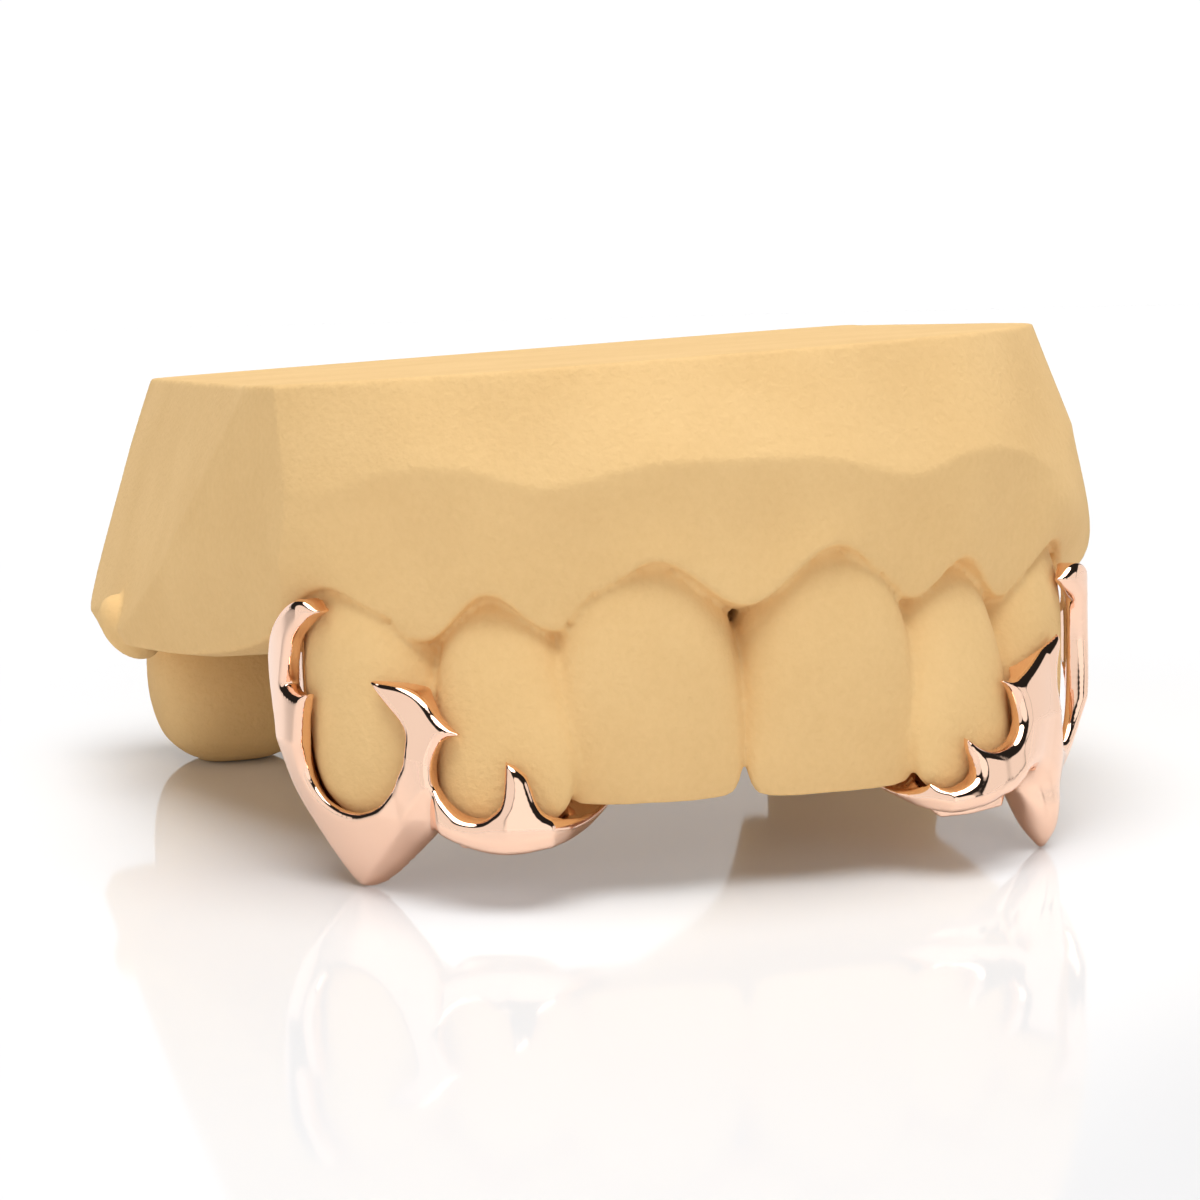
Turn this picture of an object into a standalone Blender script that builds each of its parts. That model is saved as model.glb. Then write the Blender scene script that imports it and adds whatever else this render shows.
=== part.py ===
"""Pair of dental grill fang caps on a stone tooth cast. Metres, +Z up, front to -Y."""
import math

import bmesh
import bpy
import numpy as np
from mathutils import Matrix, Vector
from mathutils.geometry import delaunay_2d_cdt

MM = 0.001

# driving dimensions, mm
HALF_WIDTH = 25.0       # cast, midline to side
LENGTH = 50.0           # cast, front to back
HEIGHT = 25.0           # cast, floor to the front of its trimmed top
FIT_GAP = 0.30          # clearance between cap and cast
PLATE_TOP = 0.55        # how far the plate face swells over its edge
SWELL_WIDTH = 0.95      # distance from an edge over which the face swells
PLATE_DEPTH = 2.6       # plate depth before the teeth are cut out of it
PLATE_EDGE = 0.35       # least thickness of its edges
FRONT_CUT = 1.7         # depth at which the lingual cup starts
CUP_WALL = 1.15         # lingual wall thickness
CUP_FLOOR = 0.70        # thickness under the incisal edges
CUP_TOP_Z = 0.328 * HEIGHT         # top of the lingual wall
LEAN = 0.28             # backward lean of labial faces above LEAN_Z
LEAN_Z = 0.16 * HEIGHT
LEAST_LEAN = 0.15       # share of the lean that is left where it has faded out
LEAN_FADE = (0.54, 0.75)    # shares of the arch run over which it fades out
POINT_LEAN = 0.30       # inward lean of the plate below POINT_LEAN_Z, towards the fang point
POINT_LEAN_Z = 0.28 * HEIGHT
POINT_LEAN_FROM = (0.44, 0.54)    # shares of the run over which it sets in
TAIL_START = 0.294        # share of the run where a wing starts to pass behind the centrals
TAIL_TUCK = 0.95        # inward shift per mm of arch length from there
TOP_Z = 1.016 * HEIGHT            # cast base, height of its trimmed top at the middle
CROWN_MIDDLE_Z = 0.28 * HEIGHT      # height from which the crowns lean and slant
CROWN_LEAN_STOP = 0.12 * HEIGHT     # and how far below it they still lean
TOP_TILT_X = 0.05
TOP_TILT_Y = -0.012
EDGE_ROUND = 0.12       # rounding under each biting edge
RING_POINTS = 24        # points round each tooth
FACE_PITCH = 0.62       # distance between points on a plate's face
EDGE_PITCH = 0.24       # and how near such a point comes to the outline
FRONT_BLOCK_RUN = (0.13, 0.98)      # block in front of the cups: shares of the run from and to
FRONT_BLOCK_STEPS = 18
FRONT_BLOCK_HEIGHTS = (-0.04, 0.16, 0.32, 0.64)
FRONT_BLOCK_OUT = 5.0   # how far it reaches out of the plate's face

# line of the plates' outer face in plan: y as share of LENGTH, x of HALF_WIDTH on the wearer's
# right and on the left
ARCH_LINE = [
    (-0.012, 0.0, 0.0), (-0.014, 0.24, 0.24), (-0.014, 0.36, 0.36), (-0.008, 0.47, 0.47),
    (0.009, 0.54, 0.54), (0.034, 0.62, 0.62), (0.068, 0.696, 0.696), (0.108, 0.76, 0.764),
    (0.14, 0.8, 0.812), (0.172, 0.828, 0.844), (0.212, 0.848, 0.872), (0.26, 0.856, 0.888),
    (0.34, 0.86, 0.9),
]

# crowns: name, kind, x, y of the labial face, turn deg, width, depth, edge z, neck z, lean, slant;
# x and width are shares of HALF_WIDTH, y and depth of LENGTH, heights of HEIGHT
TEETH = [
    ("central_r", "central", -0.182, 0.003, 4.0, 0.356, 0.144, 0.182, 0.644, 0.02, 0.0),
    ("central_l", "central", 0.182, 0.003, -4.0, 0.36, 0.144, 0.178, 0.652, 0.02, 0.0),
    ("lateral_r", "lateral", -0.472, 0.028, 25.0, 0.28, 0.124, 0.15, 0.564, 0.23, 0.1),
    ("lateral_l", "lateral", 0.476, 0.03, -25.0, 0.288, 0.124, 0.154, 0.608, 0.23, 0.1),
    ("canine_r", "canine", -0.72, 0.126, 50.0, 0.344, 0.164, 0.128, 0.584, 0.05, 0.25),
    ("canine_l", "canine", 0.72, 0.124, -50.0, 0.344, 0.164, 0.128, 0.6, 0.05, 0.25),
    ("molar_r", "molar", -1.016, 0.86, 84.0, 0.4, 0.22, 0.0048, 0.344, -0.06, 0.0),
    ("molar_l", "molar", 1.016, 0.86, -84.0, 0.4, 0.22, 0.0048, 0.344, -0.06, 0.0),
]

# crown sections by kind, as shares: height, width, depth, setback of the labial face over depth
CROWNS = {
    "central": [
        (0.0, 0.78, 0.1, 0.132), (0.03, 0.9, 0.19, 0.1), (0.12, 0.97, 0.3, 0.058),
        (0.35, 1.0, 0.52, 0.008), (0.6, 0.97, 0.78, 0.0), (0.82, 0.86, 0.95, 0.042),
        (1.0, 0.76, 1.0, 0.111), (1.25, 0.66, 0.9, 0.25),
    ],
    "lateral": [
        (0.0, 0.55, 0.12, 0.145), (0.04, 0.74, 0.22, 0.105), (0.13, 0.91, 0.34, 0.056),
        (0.35, 1.0, 0.55, 0.008), (0.6, 0.97, 0.8, 0.0), (0.82, 0.86, 0.95, 0.048),
        (1.0, 0.74, 1.0, 0.129), (1.25, 0.64, 0.9, 0.274),
    ],
    "canine": [
        (0.0, 0.2, 0.12, 0.116), (0.05, 0.46, 0.24, 0.085), (0.14, 0.76, 0.38, 0.046),
        (0.3, 0.96, 0.58, 0.01), (0.48, 1.0, 0.76, 0.0), (0.7, 0.95, 0.92, 0.002),
        (0.86, 0.86, 1.0, 0.018), (1.0, 0.76, 1.0, 0.055), (1.25, 0.66, 0.9, 0.146),
    ],
    "molar": [
        (0.0, 0.42, 0.4, 0.236), (0.07, 0.66, 0.62, 0.136), (0.2, 0.88, 0.86, 0.05),
        (0.45, 1.0, 0.98, 0.005), (0.75, 0.96, 1.0, 0.009), (1.0, 0.88, 0.94, 0.05),
        (1.4, 0.8, 0.86, 0.109),
    ],
}

# cast body, half, front to back. Rings: top, land, swell, gum, ridge foot, each x, y, z as
# shares of HALF_WIDTH, LENGTH and HEIGHT
CAST_ROWS = [
    ((0.0, 0.05, 0.0), (0.0, 0.004, 0.82), (0.0, 0.012, 0.688),
     (0.0, 0.006, 0.548), (0.0, 0.052, 0.512)),
    ((0.18, 0.054, 0.0), (0.18, 0.006, 0.816), (0.18, 0.01, 0.72),
     (0.18, 0.006, 0.64), (0.18, 0.052, 0.584)),
    ((0.352, 0.068, 0.0), (0.356, 0.024, 0.776), (0.352, 0.034, 0.68),
     (0.348, 0.042, 0.508), (0.332, 0.084, 0.476)),
    ((0.492, 0.098, 0.0), (0.5, 0.054, 0.812), (0.488, 0.056, 0.696),
     (0.48, 0.06, 0.58), (0.456, 0.1, 0.532)),
    ((0.608, 0.132, 0.0), (0.628, 0.094, 0.808), (0.612, 0.104, 0.672),
     (0.592, 0.106, 0.484), (0.556, 0.144, 0.448)),
    ((0.752, 0.198, 0.0), (0.78, 0.166, 0.76), (0.772, 0.158, 0.68),
     (0.756, 0.16, 0.584), (0.704, 0.192, 0.528)),
    ((0.884, 0.296, 0.0), (0.916, 0.28, 0.832), (0.92, 0.264, 0.62),
     (0.856, 0.268, 0.464), (0.792, 0.288, 0.416)),
    ((0.916, 0.44, 0.0), (1.008, 0.44, 0.812), (1.056, 0.42, 0.532),
     (0.984, 0.44, 0.396), (0.904, 0.45, 0.356)),
    ((0.916, 0.64, 0.0), (1.032, 0.64, 0.8), (1.096, 0.64, 0.48),
     (1.048, 0.64, 0.356), (0.976, 0.64, 0.316)),
    ((0.916, 0.86, 0.0), (1.04, 0.86, 0.784), (1.104, 0.86, 0.456),
     (1.056, 0.86, 0.32), (0.992, 0.86, 0.28)),
    ((0.856, 0.99, 0.0), (0.96, 1.004, 0.776), (1.032, 1.008, 0.448),
     (1.0, 1.0, 0.32), (0.944, 0.988, 0.28)),
    ((0.0, 1.01, 0.0), (0.0, 1.02, 0.776), (0.0, 1.03, 0.448), (0.0, 1.026, 0.32),
     (0.0, 1.012, 0.28)),
]
TOP_SHIFT = (-0.064, -0.016, 0.0, 0.0, 0.0)    # sideways shift of each ring, over HALF_WIDTH
LEFT_RISE = (0.0, 0.0, 0.008, 0.028, 0.028)    # rise of each ring on the wearer's left, over HEIGHT

RIDGE_CREST = 0.80      # size of the crest loop on the ridge's underside, as a share of the foot loop
RIDGE_MIDDLE_Y = 0.54 * LENGTH   # and the point it shrinks towards
RIDGE_FRONT_Z = 0.488 * HEIGHT    # height of that crest at the front
RIDGE_FALL = 0.25 * HEIGHT / LENGTH      # how fast it comes down towards the back, per mm
RIDGE_BACK_Z = 0.268 * HEIGHT      # and where it stops coming down
NODULE = (-1.08, 0.72, 0.38)    # stone tab beside the right molar
NODULE_RADII = (1.5, 1.5, 2.2)
NODULE_TURN = -38.0

# flat cuts that trim the wearer's right side: a point on each, as such shares, and its normal
SIDE_CUTS = [
    ((-0.988, 1.02, 0.944), (-0.952, -0.071, 0.297)),
    ((-1.044, 0.522, 0.536), (-0.952, -0.305, 0.026)),
    ((-1.044, 0.522, 0.536), (-0.923, -0.33, -0.198)),
]
SIDE_BULGE = 1.0        # stone left outside the cuts before they are made
CUT_BLOCK = 160.0       # size of the block that makes a cut
RISE_OVER = 0.32 * HALF_WIDTH       # distance from the midline over which LEFT_RISE sets in
BULGE_FROM = 0.24 * LENGTH          # where SIDE_BULGE starts, and over which length
BULGE_OVER = 0.16 * LENGTH

# palate hollow, half, front to back. Rings: under, rim, vault, crown, each x, y, z as such shares
PALATE_ROWS = [
    ((0.0, 0.2, 0.08), (0.0, 0.212, 0.44), (0.0, 0.26, 0.62), (0.0, 0.38, 0.76)),
    ((0.24, 0.224, 0.08), (0.24, 0.236, 0.432), (0.2, 0.288, 0.612), (0.104, 0.4, 0.756)),
    ((0.416, 0.3, 0.08), (0.4, 0.308, 0.408), (0.336, 0.36, 0.592), (0.184, 0.46, 0.744)),
    ((0.504, 0.42, 0.08), (0.488, 0.424, 0.368), (0.408, 0.48, 0.568), (0.224, 0.56, 0.732)),
    ((0.544, 0.64, 0.08), (0.528, 0.64, 0.312), (0.448, 0.66, 0.552), (0.24, 0.72, 0.72)),
    ((0.552, 0.86, 0.08), (0.536, 0.86, 0.272), (0.464, 0.86, 0.544), (0.248, 0.88, 0.712)),
    ((0.552, 1.16, 0.08), (0.536, 1.16, 0.264), (0.464, 1.16, 0.536), (0.248, 1.16, 0.704)),
]

# plate outlines, counter-clockwise seen from the front: shares of the arch line's run and of HEIGHT
RIGHT_PLATE = [
    (0.1773, 0.1704), (0.2043, 0.1476), (0.2283, 0.1328), (0.2614, 0.1228), (0.2974, 0.1176),
    (0.3305, 0.1104), (0.3605, 0.108), (0.3906, 0.1104), (0.4176, 0.1184), (0.4506, 0.1332),
    (0.4777, 0.1424), (0.5047, 0.118), (0.5468, 0.078), (0.5888, 0.04), (0.6219, 0.0132),
    (0.6429, 0.002), (0.6564, 0.0), (0.6699, 0.0036), (0.688, 0.0192), (0.712, 0.05),
    (0.736, 0.082), (0.7631, 0.116), (0.7901, 0.15), (0.8111, 0.188), (0.8172, 0.24), (0.8202, 0.3),
    (0.8322, 0.344), (0.8472, 0.396), (0.8472, 0.448), (0.8232, 0.492), (0.7751, 0.534),
    (0.733, 0.558), (0.697, 0.56), (0.6609, 0.54), (0.697, 0.522), (0.739, 0.484), (0.7571, 0.44),
    (0.7721, 0.39), (0.7541, 0.38), (0.727, 0.376), (0.706, 0.38), (0.721, 0.336), (0.73, 0.29),
    (0.739, 0.232), (0.73, 0.2), (0.709, 0.176), (0.676, 0.16), (0.6369, 0.156), (0.6039, 0.166),
    (0.5738, 0.184), (0.5438, 0.216), (0.5287, 0.242), (0.5137, 0.268), (0.5077, 0.296),
    (0.5047, 0.326), (0.5137, 0.348), (0.5287, 0.368), (0.5468, 0.392), (0.5618, 0.416),
    (0.5227, 0.4132), (0.4987, 0.408), (0.4777, 0.396), (0.4627, 0.378), (0.4506, 0.356),
    (0.4326, 0.334), (0.4191, 0.324), (0.4446, 0.3132), (0.4566, 0.296), (0.4657, 0.272),
    (0.4687, 0.248), (0.4657, 0.226), (0.4476, 0.196), (0.4266, 0.176), (0.3996, 0.172),
    (0.3785, 0.186), (0.3665, 0.2), (0.3605, 0.222), (0.3575, 0.25), (0.3545, 0.278),
    (0.3395, 0.2692), (0.3245, 0.252), (0.3184, 0.228), (0.3124, 0.202), (0.3034, 0.184),
    (0.2824, 0.1712), (0.2463, 0.162), (0.2163, 0.166), (0.1923, 0.174),
]
LEFT_PLATE = [
    (0.1845, 0.188), (0.2024, 0.172), (0.2203, 0.1588), (0.2411, 0.1448), (0.2619, 0.1344),
    (0.2828, 0.1296), (0.3095, 0.1288), (0.3363, 0.1328), (0.3631, 0.1384), (0.3869, 0.146),
    (0.4137, 0.152), (0.4375, 0.166), (0.4673, 0.18), (0.503, 0.176), (0.5417, 0.15),
    (0.5804, 0.124), (0.6191, 0.11), (0.6548, 0.12), (0.6846, 0.16), (0.7024, 0.212),
    (0.7292, 0.284), (0.7649, 0.36), (0.7709, 0.44), (0.756, 0.504), (0.7292, 0.548),
    (0.6965, 0.56), (0.6608, 0.556), (0.6221, 0.532), (0.6518, 0.51), (0.6995, 0.48),
    (0.7173, 0.432), (0.7173, 0.368), (0.6995, 0.296), (0.6786, 0.236), (0.6518, 0.2),
    (0.6191, 0.188), (0.5953, 0.204), (0.5774, 0.248), (0.5715, 0.3), (0.5774, 0.352),
    (0.5953, 0.4), (0.6012, 0.428), (0.5655, 0.416), (0.5328, 0.4032), (0.4881, 0.378),
    (0.4643, 0.366), (0.4405, 0.3568), (0.4093, 0.366), (0.4286, 0.348), (0.4405, 0.324),
    (0.4465, 0.3), (0.4465, 0.276), (0.4316, 0.252), (0.4137, 0.2388), (0.384, 0.2348),
    (0.3542, 0.244), (0.3259, 0.268), (0.3274, 0.244), (0.3334, 0.224), (0.3363, 0.208),
    (0.3334, 0.194), (0.3215, 0.182), (0.3006, 0.1736), (0.2828, 0.176), (0.2694, 0.19),
    (0.2634, 0.18), (0.25, 0.168), (0.2292, 0.1656), (0.2083, 0.176),
]

# the left fang is a round point, by sections: z over HEIGHT, x over HALF_WIDTH, y over LENGTH,
# half length and half depth over HALF_WIDTH
LEFT_FANG = [
    (0.296, 0.678, 0.113, 0.04, 0.028), (0.24, 0.668, 0.108, 0.06, 0.042),
    (0.184, 0.652, 0.106, 0.072, 0.054), (0.136, 0.648, 0.104, 0.07, 0.058),
    (0.092, 0.654, 0.099, 0.058, 0.052), (0.044, 0.66, 0.095, 0.0368, 0.0368),
    (0.01, 0.664, 0.0932, 0.0144, 0.0136), (0.0, 0.6648, 0.0932, 0.0048, 0.0048),
]
LEFT_FANG_TURN = 44.0

# the right fang is the plate's own point, with a facet beside a ridge from RIDGE_TOP to RIDGE_TIP
RIDGE_TOP = (0.5167, 0.176)
RIDGE_TIP = (0.6579, 0.0)
FACET_FROM = 0.463       # share of the run where the facet sets in
FACET_SLOPE = 0.9
POINT_BACK = (1.0, 0.55)    # depth of the plate at its lowest point, and what it gains per mm of height


def in_mm(point):
    """Point in mm from shares of the cast's half width, length and height."""
    return tuple(share * size for share, size in zip(point, (HALF_WIDTH, LENGTH, HEIGHT)))


def clear_scene():
    for old in list(bpy.data.objects):
        bpy.data.objects.remove(old, do_unlink=True)


def collection(name):
    """The collection of that name, made on first use."""
    group = bpy.data.collections.get(name)
    if group is None:
        group = bpy.data.collections.new(name)
        bpy.context.scene.collection.children.link(group)
    return group


def as_cutter(obj):
    """File a shape under the cutters, out of the render, until it is used or finished."""
    for group in list(obj.users_collection):
        group.objects.unlink(obj)
    collection("cutters").objects.link(obj)
    obj.hide_render = True
    obj.display_type = "WIRE"
    return obj


def as_piece(obj, material):
    """File a finished shape under the object, with its own material."""
    collection("cutters").objects.unlink(obj)
    collection("fang_caps_on_cast").objects.link(obj)
    obj.hide_render = False
    obj.display_type = "TEXTURED"
    obj.data.materials.clear()
    obj.data.materials.append(material)


def paint(name, colour, metallic, roughness):
    mat = bpy.data.materials.new(name)
    mat.use_nodes = True
    shader = mat.node_tree.nodes["Principled BSDF"]
    shader.inputs["Base Color"].default_value = (*colour, 1.0)
    shader.inputs["Metallic"].default_value = metallic
    shader.inputs["Roughness"].default_value = roughness
    return mat


def solid(name, points, faces):
    mesh = bpy.data.meshes.new(name)
    mesh.from_pydata([(x * MM, y * MM, z * MM) for x, y, z in points], [], faces)
    mesh.validate()
    mesh.update()
    return as_cutter(bpy.data.objects.new(name, mesh))


def loft(name, rings):
    """Closed solid through rings of equal count, first ring lowest, counter-clockwise from above."""
    count = len(rings[0])
    points = [p for ring in rings for p in ring]
    faces = []
    for k in range(len(rings) - 1):
        for i in range(count):
            j = (i + 1) % count
            a, b = k * count + i, k * count + j
            faces.append((a, b, b + count))
            faces.append((a, b + count, a + count))
    for ring, start, flip in ((rings[0], 0, True), (rings[-1], (len(rings) - 1) * count, False)):
        centre = tuple(sum(p[i] for p in ring) / count for i in range(3))
        points.append(centre)
        hub = len(points) - 1
        for i in range(count):
            j = (i + 1) % count
            faces.append((hub, start + j, start + i) if flip else (hub, start + i, start + j))
    return solid(name, points, faces)


def tooth_rings(tooth, grow=0.0, below=None):
    """Sections of one crown; below cuts the sections off at a height."""
    name, kind, x, y, turn, width, depth, edge, neck, lean, slant = tooth
    x, y, edge = in_mm((x, y, edge))
    width, depth, neck = in_mm((width, depth, neck))
    turn = math.radians(turn)
    out = (-math.sin(turn), -math.cos(turn))
    side = (math.cos(turn), -math.sin(turn))
    rows = []
    for share, wide, deep, back in CROWNS[kind]:
        z = edge + share * (neck - edge)
        rows.append((z, width * wide / 2 + grow, depth * deep / 2 + grow, depth * back))
    floor = rows[0][0] - EDGE_ROUND - min(grow, FIT_GAP + CUP_FLOOR)
    rows.insert(0, (floor, rows[0][1] * 0.6, rows[0][2] * 0.6, rows[0][3] + grow * 0.3))
    if below is not None:
        low, high = [r for r in rows if r[0] < below], [r for r in rows if r[0] >= below]
        a, b = low[-1], high[0]
        share = (below - a[0]) / (b[0] - a[0])
        rows = low + [tuple(p + (q - p) * share for p, q in zip(a, b))]
    power = 0.72 if kind == "molar" else 0.86
    rings = []
    for z, half_w, half_d, back in rows:
        tilt = lean * max(z - CROWN_MIDDLE_Z, -CROWN_LEAN_STOP) if kind != "molar" else lean * z
        middle = back + (half_d - grow) + tilt
        shift = math.copysign(slant * max(z - CROWN_MIDDLE_Z, 0.0), x)
        ring = []
        for i in range(RING_POINTS):
            a = 2 * math.pi * i / RING_POINTS
            u = math.copysign(abs(math.cos(a)) ** power, math.cos(a)) * half_w
            v = math.copysign(abs(math.sin(a)) ** power, math.sin(a)) * half_d
            px = x + side[0] * (u + shift) - out[0] * (middle + v)
            py = y + side[1] * (u + shift) - out[1] * (middle + v)
            ring.append((px, py, z))
        rings.append(ring)
    return rings


def closed_ring(rows, index, shift, rise=0.0, grow=0.0, bulge=0.0):
    """Right-half rows mirrored into a full loop, counter-clockwise from above."""
    half = [in_mm(row[index]) for row in rows]
    loop = [(x + shift, y, z + rise * min(x / RISE_OVER, 1.0)) for x, y, z in half]
    for x, y, z in reversed(half):
        if x > 1e-6:
            loop.append((-x + shift - bulge * max(0.0, min(1.0, (y - BULGE_FROM) / BULGE_OVER)), y, z))
    loop = smooth_loop(loop, 3)
    if grow:
        loop = grow_loop(loop, grow)
    return loop


def smooth_loop(loop, steps):
    """Closed Catmull-Rom curve through the points."""
    points = [np.array(p, dtype=float) for p in loop]
    count = len(points)
    result = []
    for i in range(count):
        p0, p1, p2, p3 = (points[(i + k) % count] for k in (-1, 0, 1, 2))
        for step in range(steps):
            t = step / steps
            q = 0.5 * (2 * p1 + (p2 - p0) * t + (2 * p0 - 5 * p1 + 4 * p2 - p3) * t * t
                       + (3 * p1 - p0 - 3 * p2 + p3) * t ** 3)
            result.append(tuple(float(v) for v in q))
    return result


def grow_loop(loop, grow):
    count = len(loop)
    result = []
    for i, (x, y, z) in enumerate(loop):
        ax, ay, _ = loop[i - 1]
        bx, by, _ = loop[(i + 1) % count]
        length = math.hypot(bx - ax, by - ay) or 1.0
        result.append((x + (by - ay) / length * grow, y - (bx - ax) / length * grow, z))
    return result


def cast_body(name, grow=0.0):
    rings = []
    for index in (4, 3, 2, 1, 0):
        bulge = SIDE_BULGE if 0 < index < 4 else 0.0
        shift, rise = TOP_SHIFT[index] * HALF_WIDTH, LEFT_RISE[index] * HEIGHT
        ring = closed_ring(CAST_ROWS, index, shift, rise, grow, bulge)
        if index == 0:
            ring = [(x, y, TOP_Z + TOP_TILT_X * x + TOP_TILT_Y * y) for x, y, z in ring]
        if index == 4:
            ring = [(x, y, z - grow) for x, y, z in ring]
            rings.append(ridge_crest(ring, grow))
        rings.append(ring)
    return loft(name, rings)


def ridge_crest(foot, grow):
    """Inner loop of the ridge's underside, without the waves of the gum line."""
    crest = []
    for x, y, _ in foot:
        back = RIDGE_MIDDLE_Y + (y - RIDGE_MIDDLE_Y) * RIDGE_CREST
        height = max(RIDGE_FRONT_Z - RIDGE_FALL * back, RIDGE_BACK_Z) - grow
        crest.append((x * RIDGE_CREST, back, height))
    return crest


def nodule():
    bpy.ops.mesh.primitive_ico_sphere_add(subdivisions=3, radius=MM)
    ball = bpy.context.object
    ball.name = "nodule"
    place = Matrix.Translation(Vector(in_mm(NODULE)) * MM)
    turn = Matrix.Rotation(math.radians(NODULE_TURN), 4, "Y")
    ball.data.transform(place @ turn @ Matrix.Diagonal((*NODULE_RADII, 1.0)))
    return as_cutter(ball)


def side_cut(point, normal):
    """Large block whose near face lies on a trimming cut."""
    bpy.ops.mesh.primitive_cube_add(size=CUT_BLOCK * MM)
    block = bpy.context.object
    block.name = "side_cut"
    turn = Vector(normal).to_track_quat("Z", "Y").to_matrix().to_4x4()
    away = Matrix.Translation((0, 0, CUT_BLOCK * MM / 2))
    block.data.transform(Matrix.Translation(Vector(in_mm(point)) * MM) @ turn @ away)
    return as_cutter(block)


def palate_hollow():
    rings = [closed_ring(PALATE_ROWS, index, 0.0) for index in range(4)]
    return loft("palate_hollow", rings)


def tidy(obj):
    """Merge points that a Boolean left on top of each other."""
    work = bmesh.new()
    work.from_mesh(obj.data)
    bmesh.ops.remove_doubles(work, verts=work.verts, dist=2e-6)
    bmesh.ops.dissolve_degenerate(work, edges=work.edges, dist=1e-7)
    work.to_mesh(obj.data)
    work.free()
    obj.data.update()


def combine(target, tool, operation):
    modifier = target.modifiers.new(tool.name, "BOOLEAN")
    modifier.operation = operation
    modifier.solver = "EXACT"
    modifier.object = tool
    evaluated = target.evaluated_get(bpy.context.evaluated_depsgraph_get())
    mesh = bpy.data.meshes.new_from_object(evaluated)
    target.modifiers.clear()
    target.data = mesh
    tidy(target)
    bpy.data.objects.remove(tool, do_unlink=True)


ARCH = {side: np.array([(row[column] * HALF_WIDTH, row[0] * LENGTH) for row in ARCH_LINE])
        for side, column in ((-1, 1), (1, 2))}
ARCH_LENGTH = {side: np.concatenate([[0.0], np.cumsum(np.hypot(*np.diff(line, axis=0).T))])
               for side, line in ARCH.items()}
ARCH_RUN = {side: float(lengths[-1]) for side, lengths in ARCH_LENGTH.items()}


def on_arch(length, side):
    return [float(np.interp(length, ARCH_LENGTH[side], ARCH[side][:, k])) for k in (0, 1)]


def arch_point(length, height, inward, side):
    """Point at an arch length and height, moved inward off the plate's outer face."""
    x, y = on_arch(length, side)
    ahead, behind = on_arch(length + 0.8, side), on_arch(length - 0.8, side)
    dx, dy = ahead[0] - behind[0], ahead[1] - behind[1]
    norm = math.hypot(dx, dy) or 1.0
    share = length / ARCH_RUN[side]
    inward += max(0.0, TAIL_START - share) * ARCH_RUN[side] * TAIL_TUCK
    onset = (share - POINT_LEAN_FROM[0]) / (POINT_LEAN_FROM[1] - POINT_LEAN_FROM[0])
    inward += POINT_LEAN * max(0.0, POINT_LEAN_Z - height) * max(0.0, min(1.0, onset))
    fade = (LEAN_FADE[1] - share) / (LEAN_FADE[1] - LEAN_FADE[0])
    lean = LEAN * max(LEAST_LEAN, min(1.0, fade))
    x += -dy / norm * inward
    y += dx / norm * inward + lean * max(height - LEAN_Z, 0.0)
    return (side * x, y, height)


def edge_distance(p, outline):
    best = 1e9
    for a, b in zip(outline, outline[1:] + outline[:1]):
        ax, ay, bx, by = a[0], a[1], b[0], b[1]
        dx, dy = bx - ax, by - ay
        t = max(0.0, min(1.0, ((p[0] - ax) * dx + (p[1] - ay) * dy) / (dx * dx + dy * dy)))
        best = min(best, math.hypot(p[0] - ax - t * dx, p[1] - ay - t * dy))
    return best


def plate(name, outline, side):
    """Ornament plate: swelling outer face, straight back, both following the arch line."""
    loop = [(s * ARCH_RUN[side], z * HEIGHT) for s, z in outline]
    points = [Vector(p) for p in loop]
    lows = [min(p[k] for p in loop) for k in (0, 1)]
    highs = [max(p[k] for p in loop) for k in (0, 1)]
    for i in range(int((highs[0] - lows[0]) / FACE_PITCH) + 1):
        for j in range(int((highs[1] - lows[1]) / FACE_PITCH) + 1):
            p = (lows[0] + (i + 0.5 * (j % 2)) * FACE_PITCH, lows[1] + j * FACE_PITCH)
            if inside(p, loop) and edge_distance(p, loop) > EDGE_PITCH:
                points.append(Vector(p))
    edges = [(i, (i + 1) % len(loop)) for i in range(len(loop))]
    flat, _, triangles, _, _, _ = delaunay_2d_cdt(points, edges, [], 1, 1e-6)
    front, back = [], []
    for p in flat:
        gap = min(edge_distance(p, loop) / SWELL_WIDTH, 1.0)
        swell = PLATE_TOP * (1.0 - gap) ** 2 + facet_drop(p[0], p[1], side)
        depth = min(PLATE_DEPTH, POINT_BACK[0] + POINT_BACK[1] * max(p[1], 0.0))
        front.append(arch_point(p[0], p[1], swell, side))
        back.append(arch_point(p[0], p[1], max(depth, swell + PLATE_EDGE), side))
    count = len(flat)
    faces = []
    used = {}
    for triangle in triangles:
        a, b, c = triangle
        cross = (flat[b][0] - flat[a][0]) * (flat[c][1] - flat[a][1])
        cross -= (flat[c][0] - flat[a][0]) * (flat[b][1] - flat[a][1])
        if cross < 0:
            a, b, c = a, c, b
        if side < 0:
            a, b, c = a, c, b
        faces.append((a, b, c))
        faces.append((count + a, count + c, count + b))
        for u, v in ((a, b), (b, c), (c, a)):
            used[(u, v)] = True
    for u, v in used:
        if (v, u) not in used:
            faces.append((v, u, count + u))
            faces.append((v, count + u, count + v))
    return solid(name, front + back, faces)


def facet_drop(length, height, side):
    """How far the face falls beside the right fang's ridge."""
    if side > 0:
        return 0.0
    top, tip = ((s * ARCH_RUN[side], z * HEIGHT) for s, z in (RIDGE_TOP, RIDGE_TIP))
    run = (tip[0] - top[0], tip[1] - top[1])
    beside = (run[1] * (length - top[0]) - run[0] * (height - top[1])) / math.hypot(*run)
    return FACET_SLOPE * max(0.0, min(beside, length - FACET_FROM * ARCH_RUN[side]))


def inside(p, loop):
    hit = False
    for a, b in zip(loop, loop[1:] + loop[:1]):
        if (a[1] > p[1]) != (b[1] > p[1]):
            if p[0] < a[0] + (p[1] - a[1]) / (b[1] - a[1]) * (b[0] - a[0]):
                hit = not hit
    return hit


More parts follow.
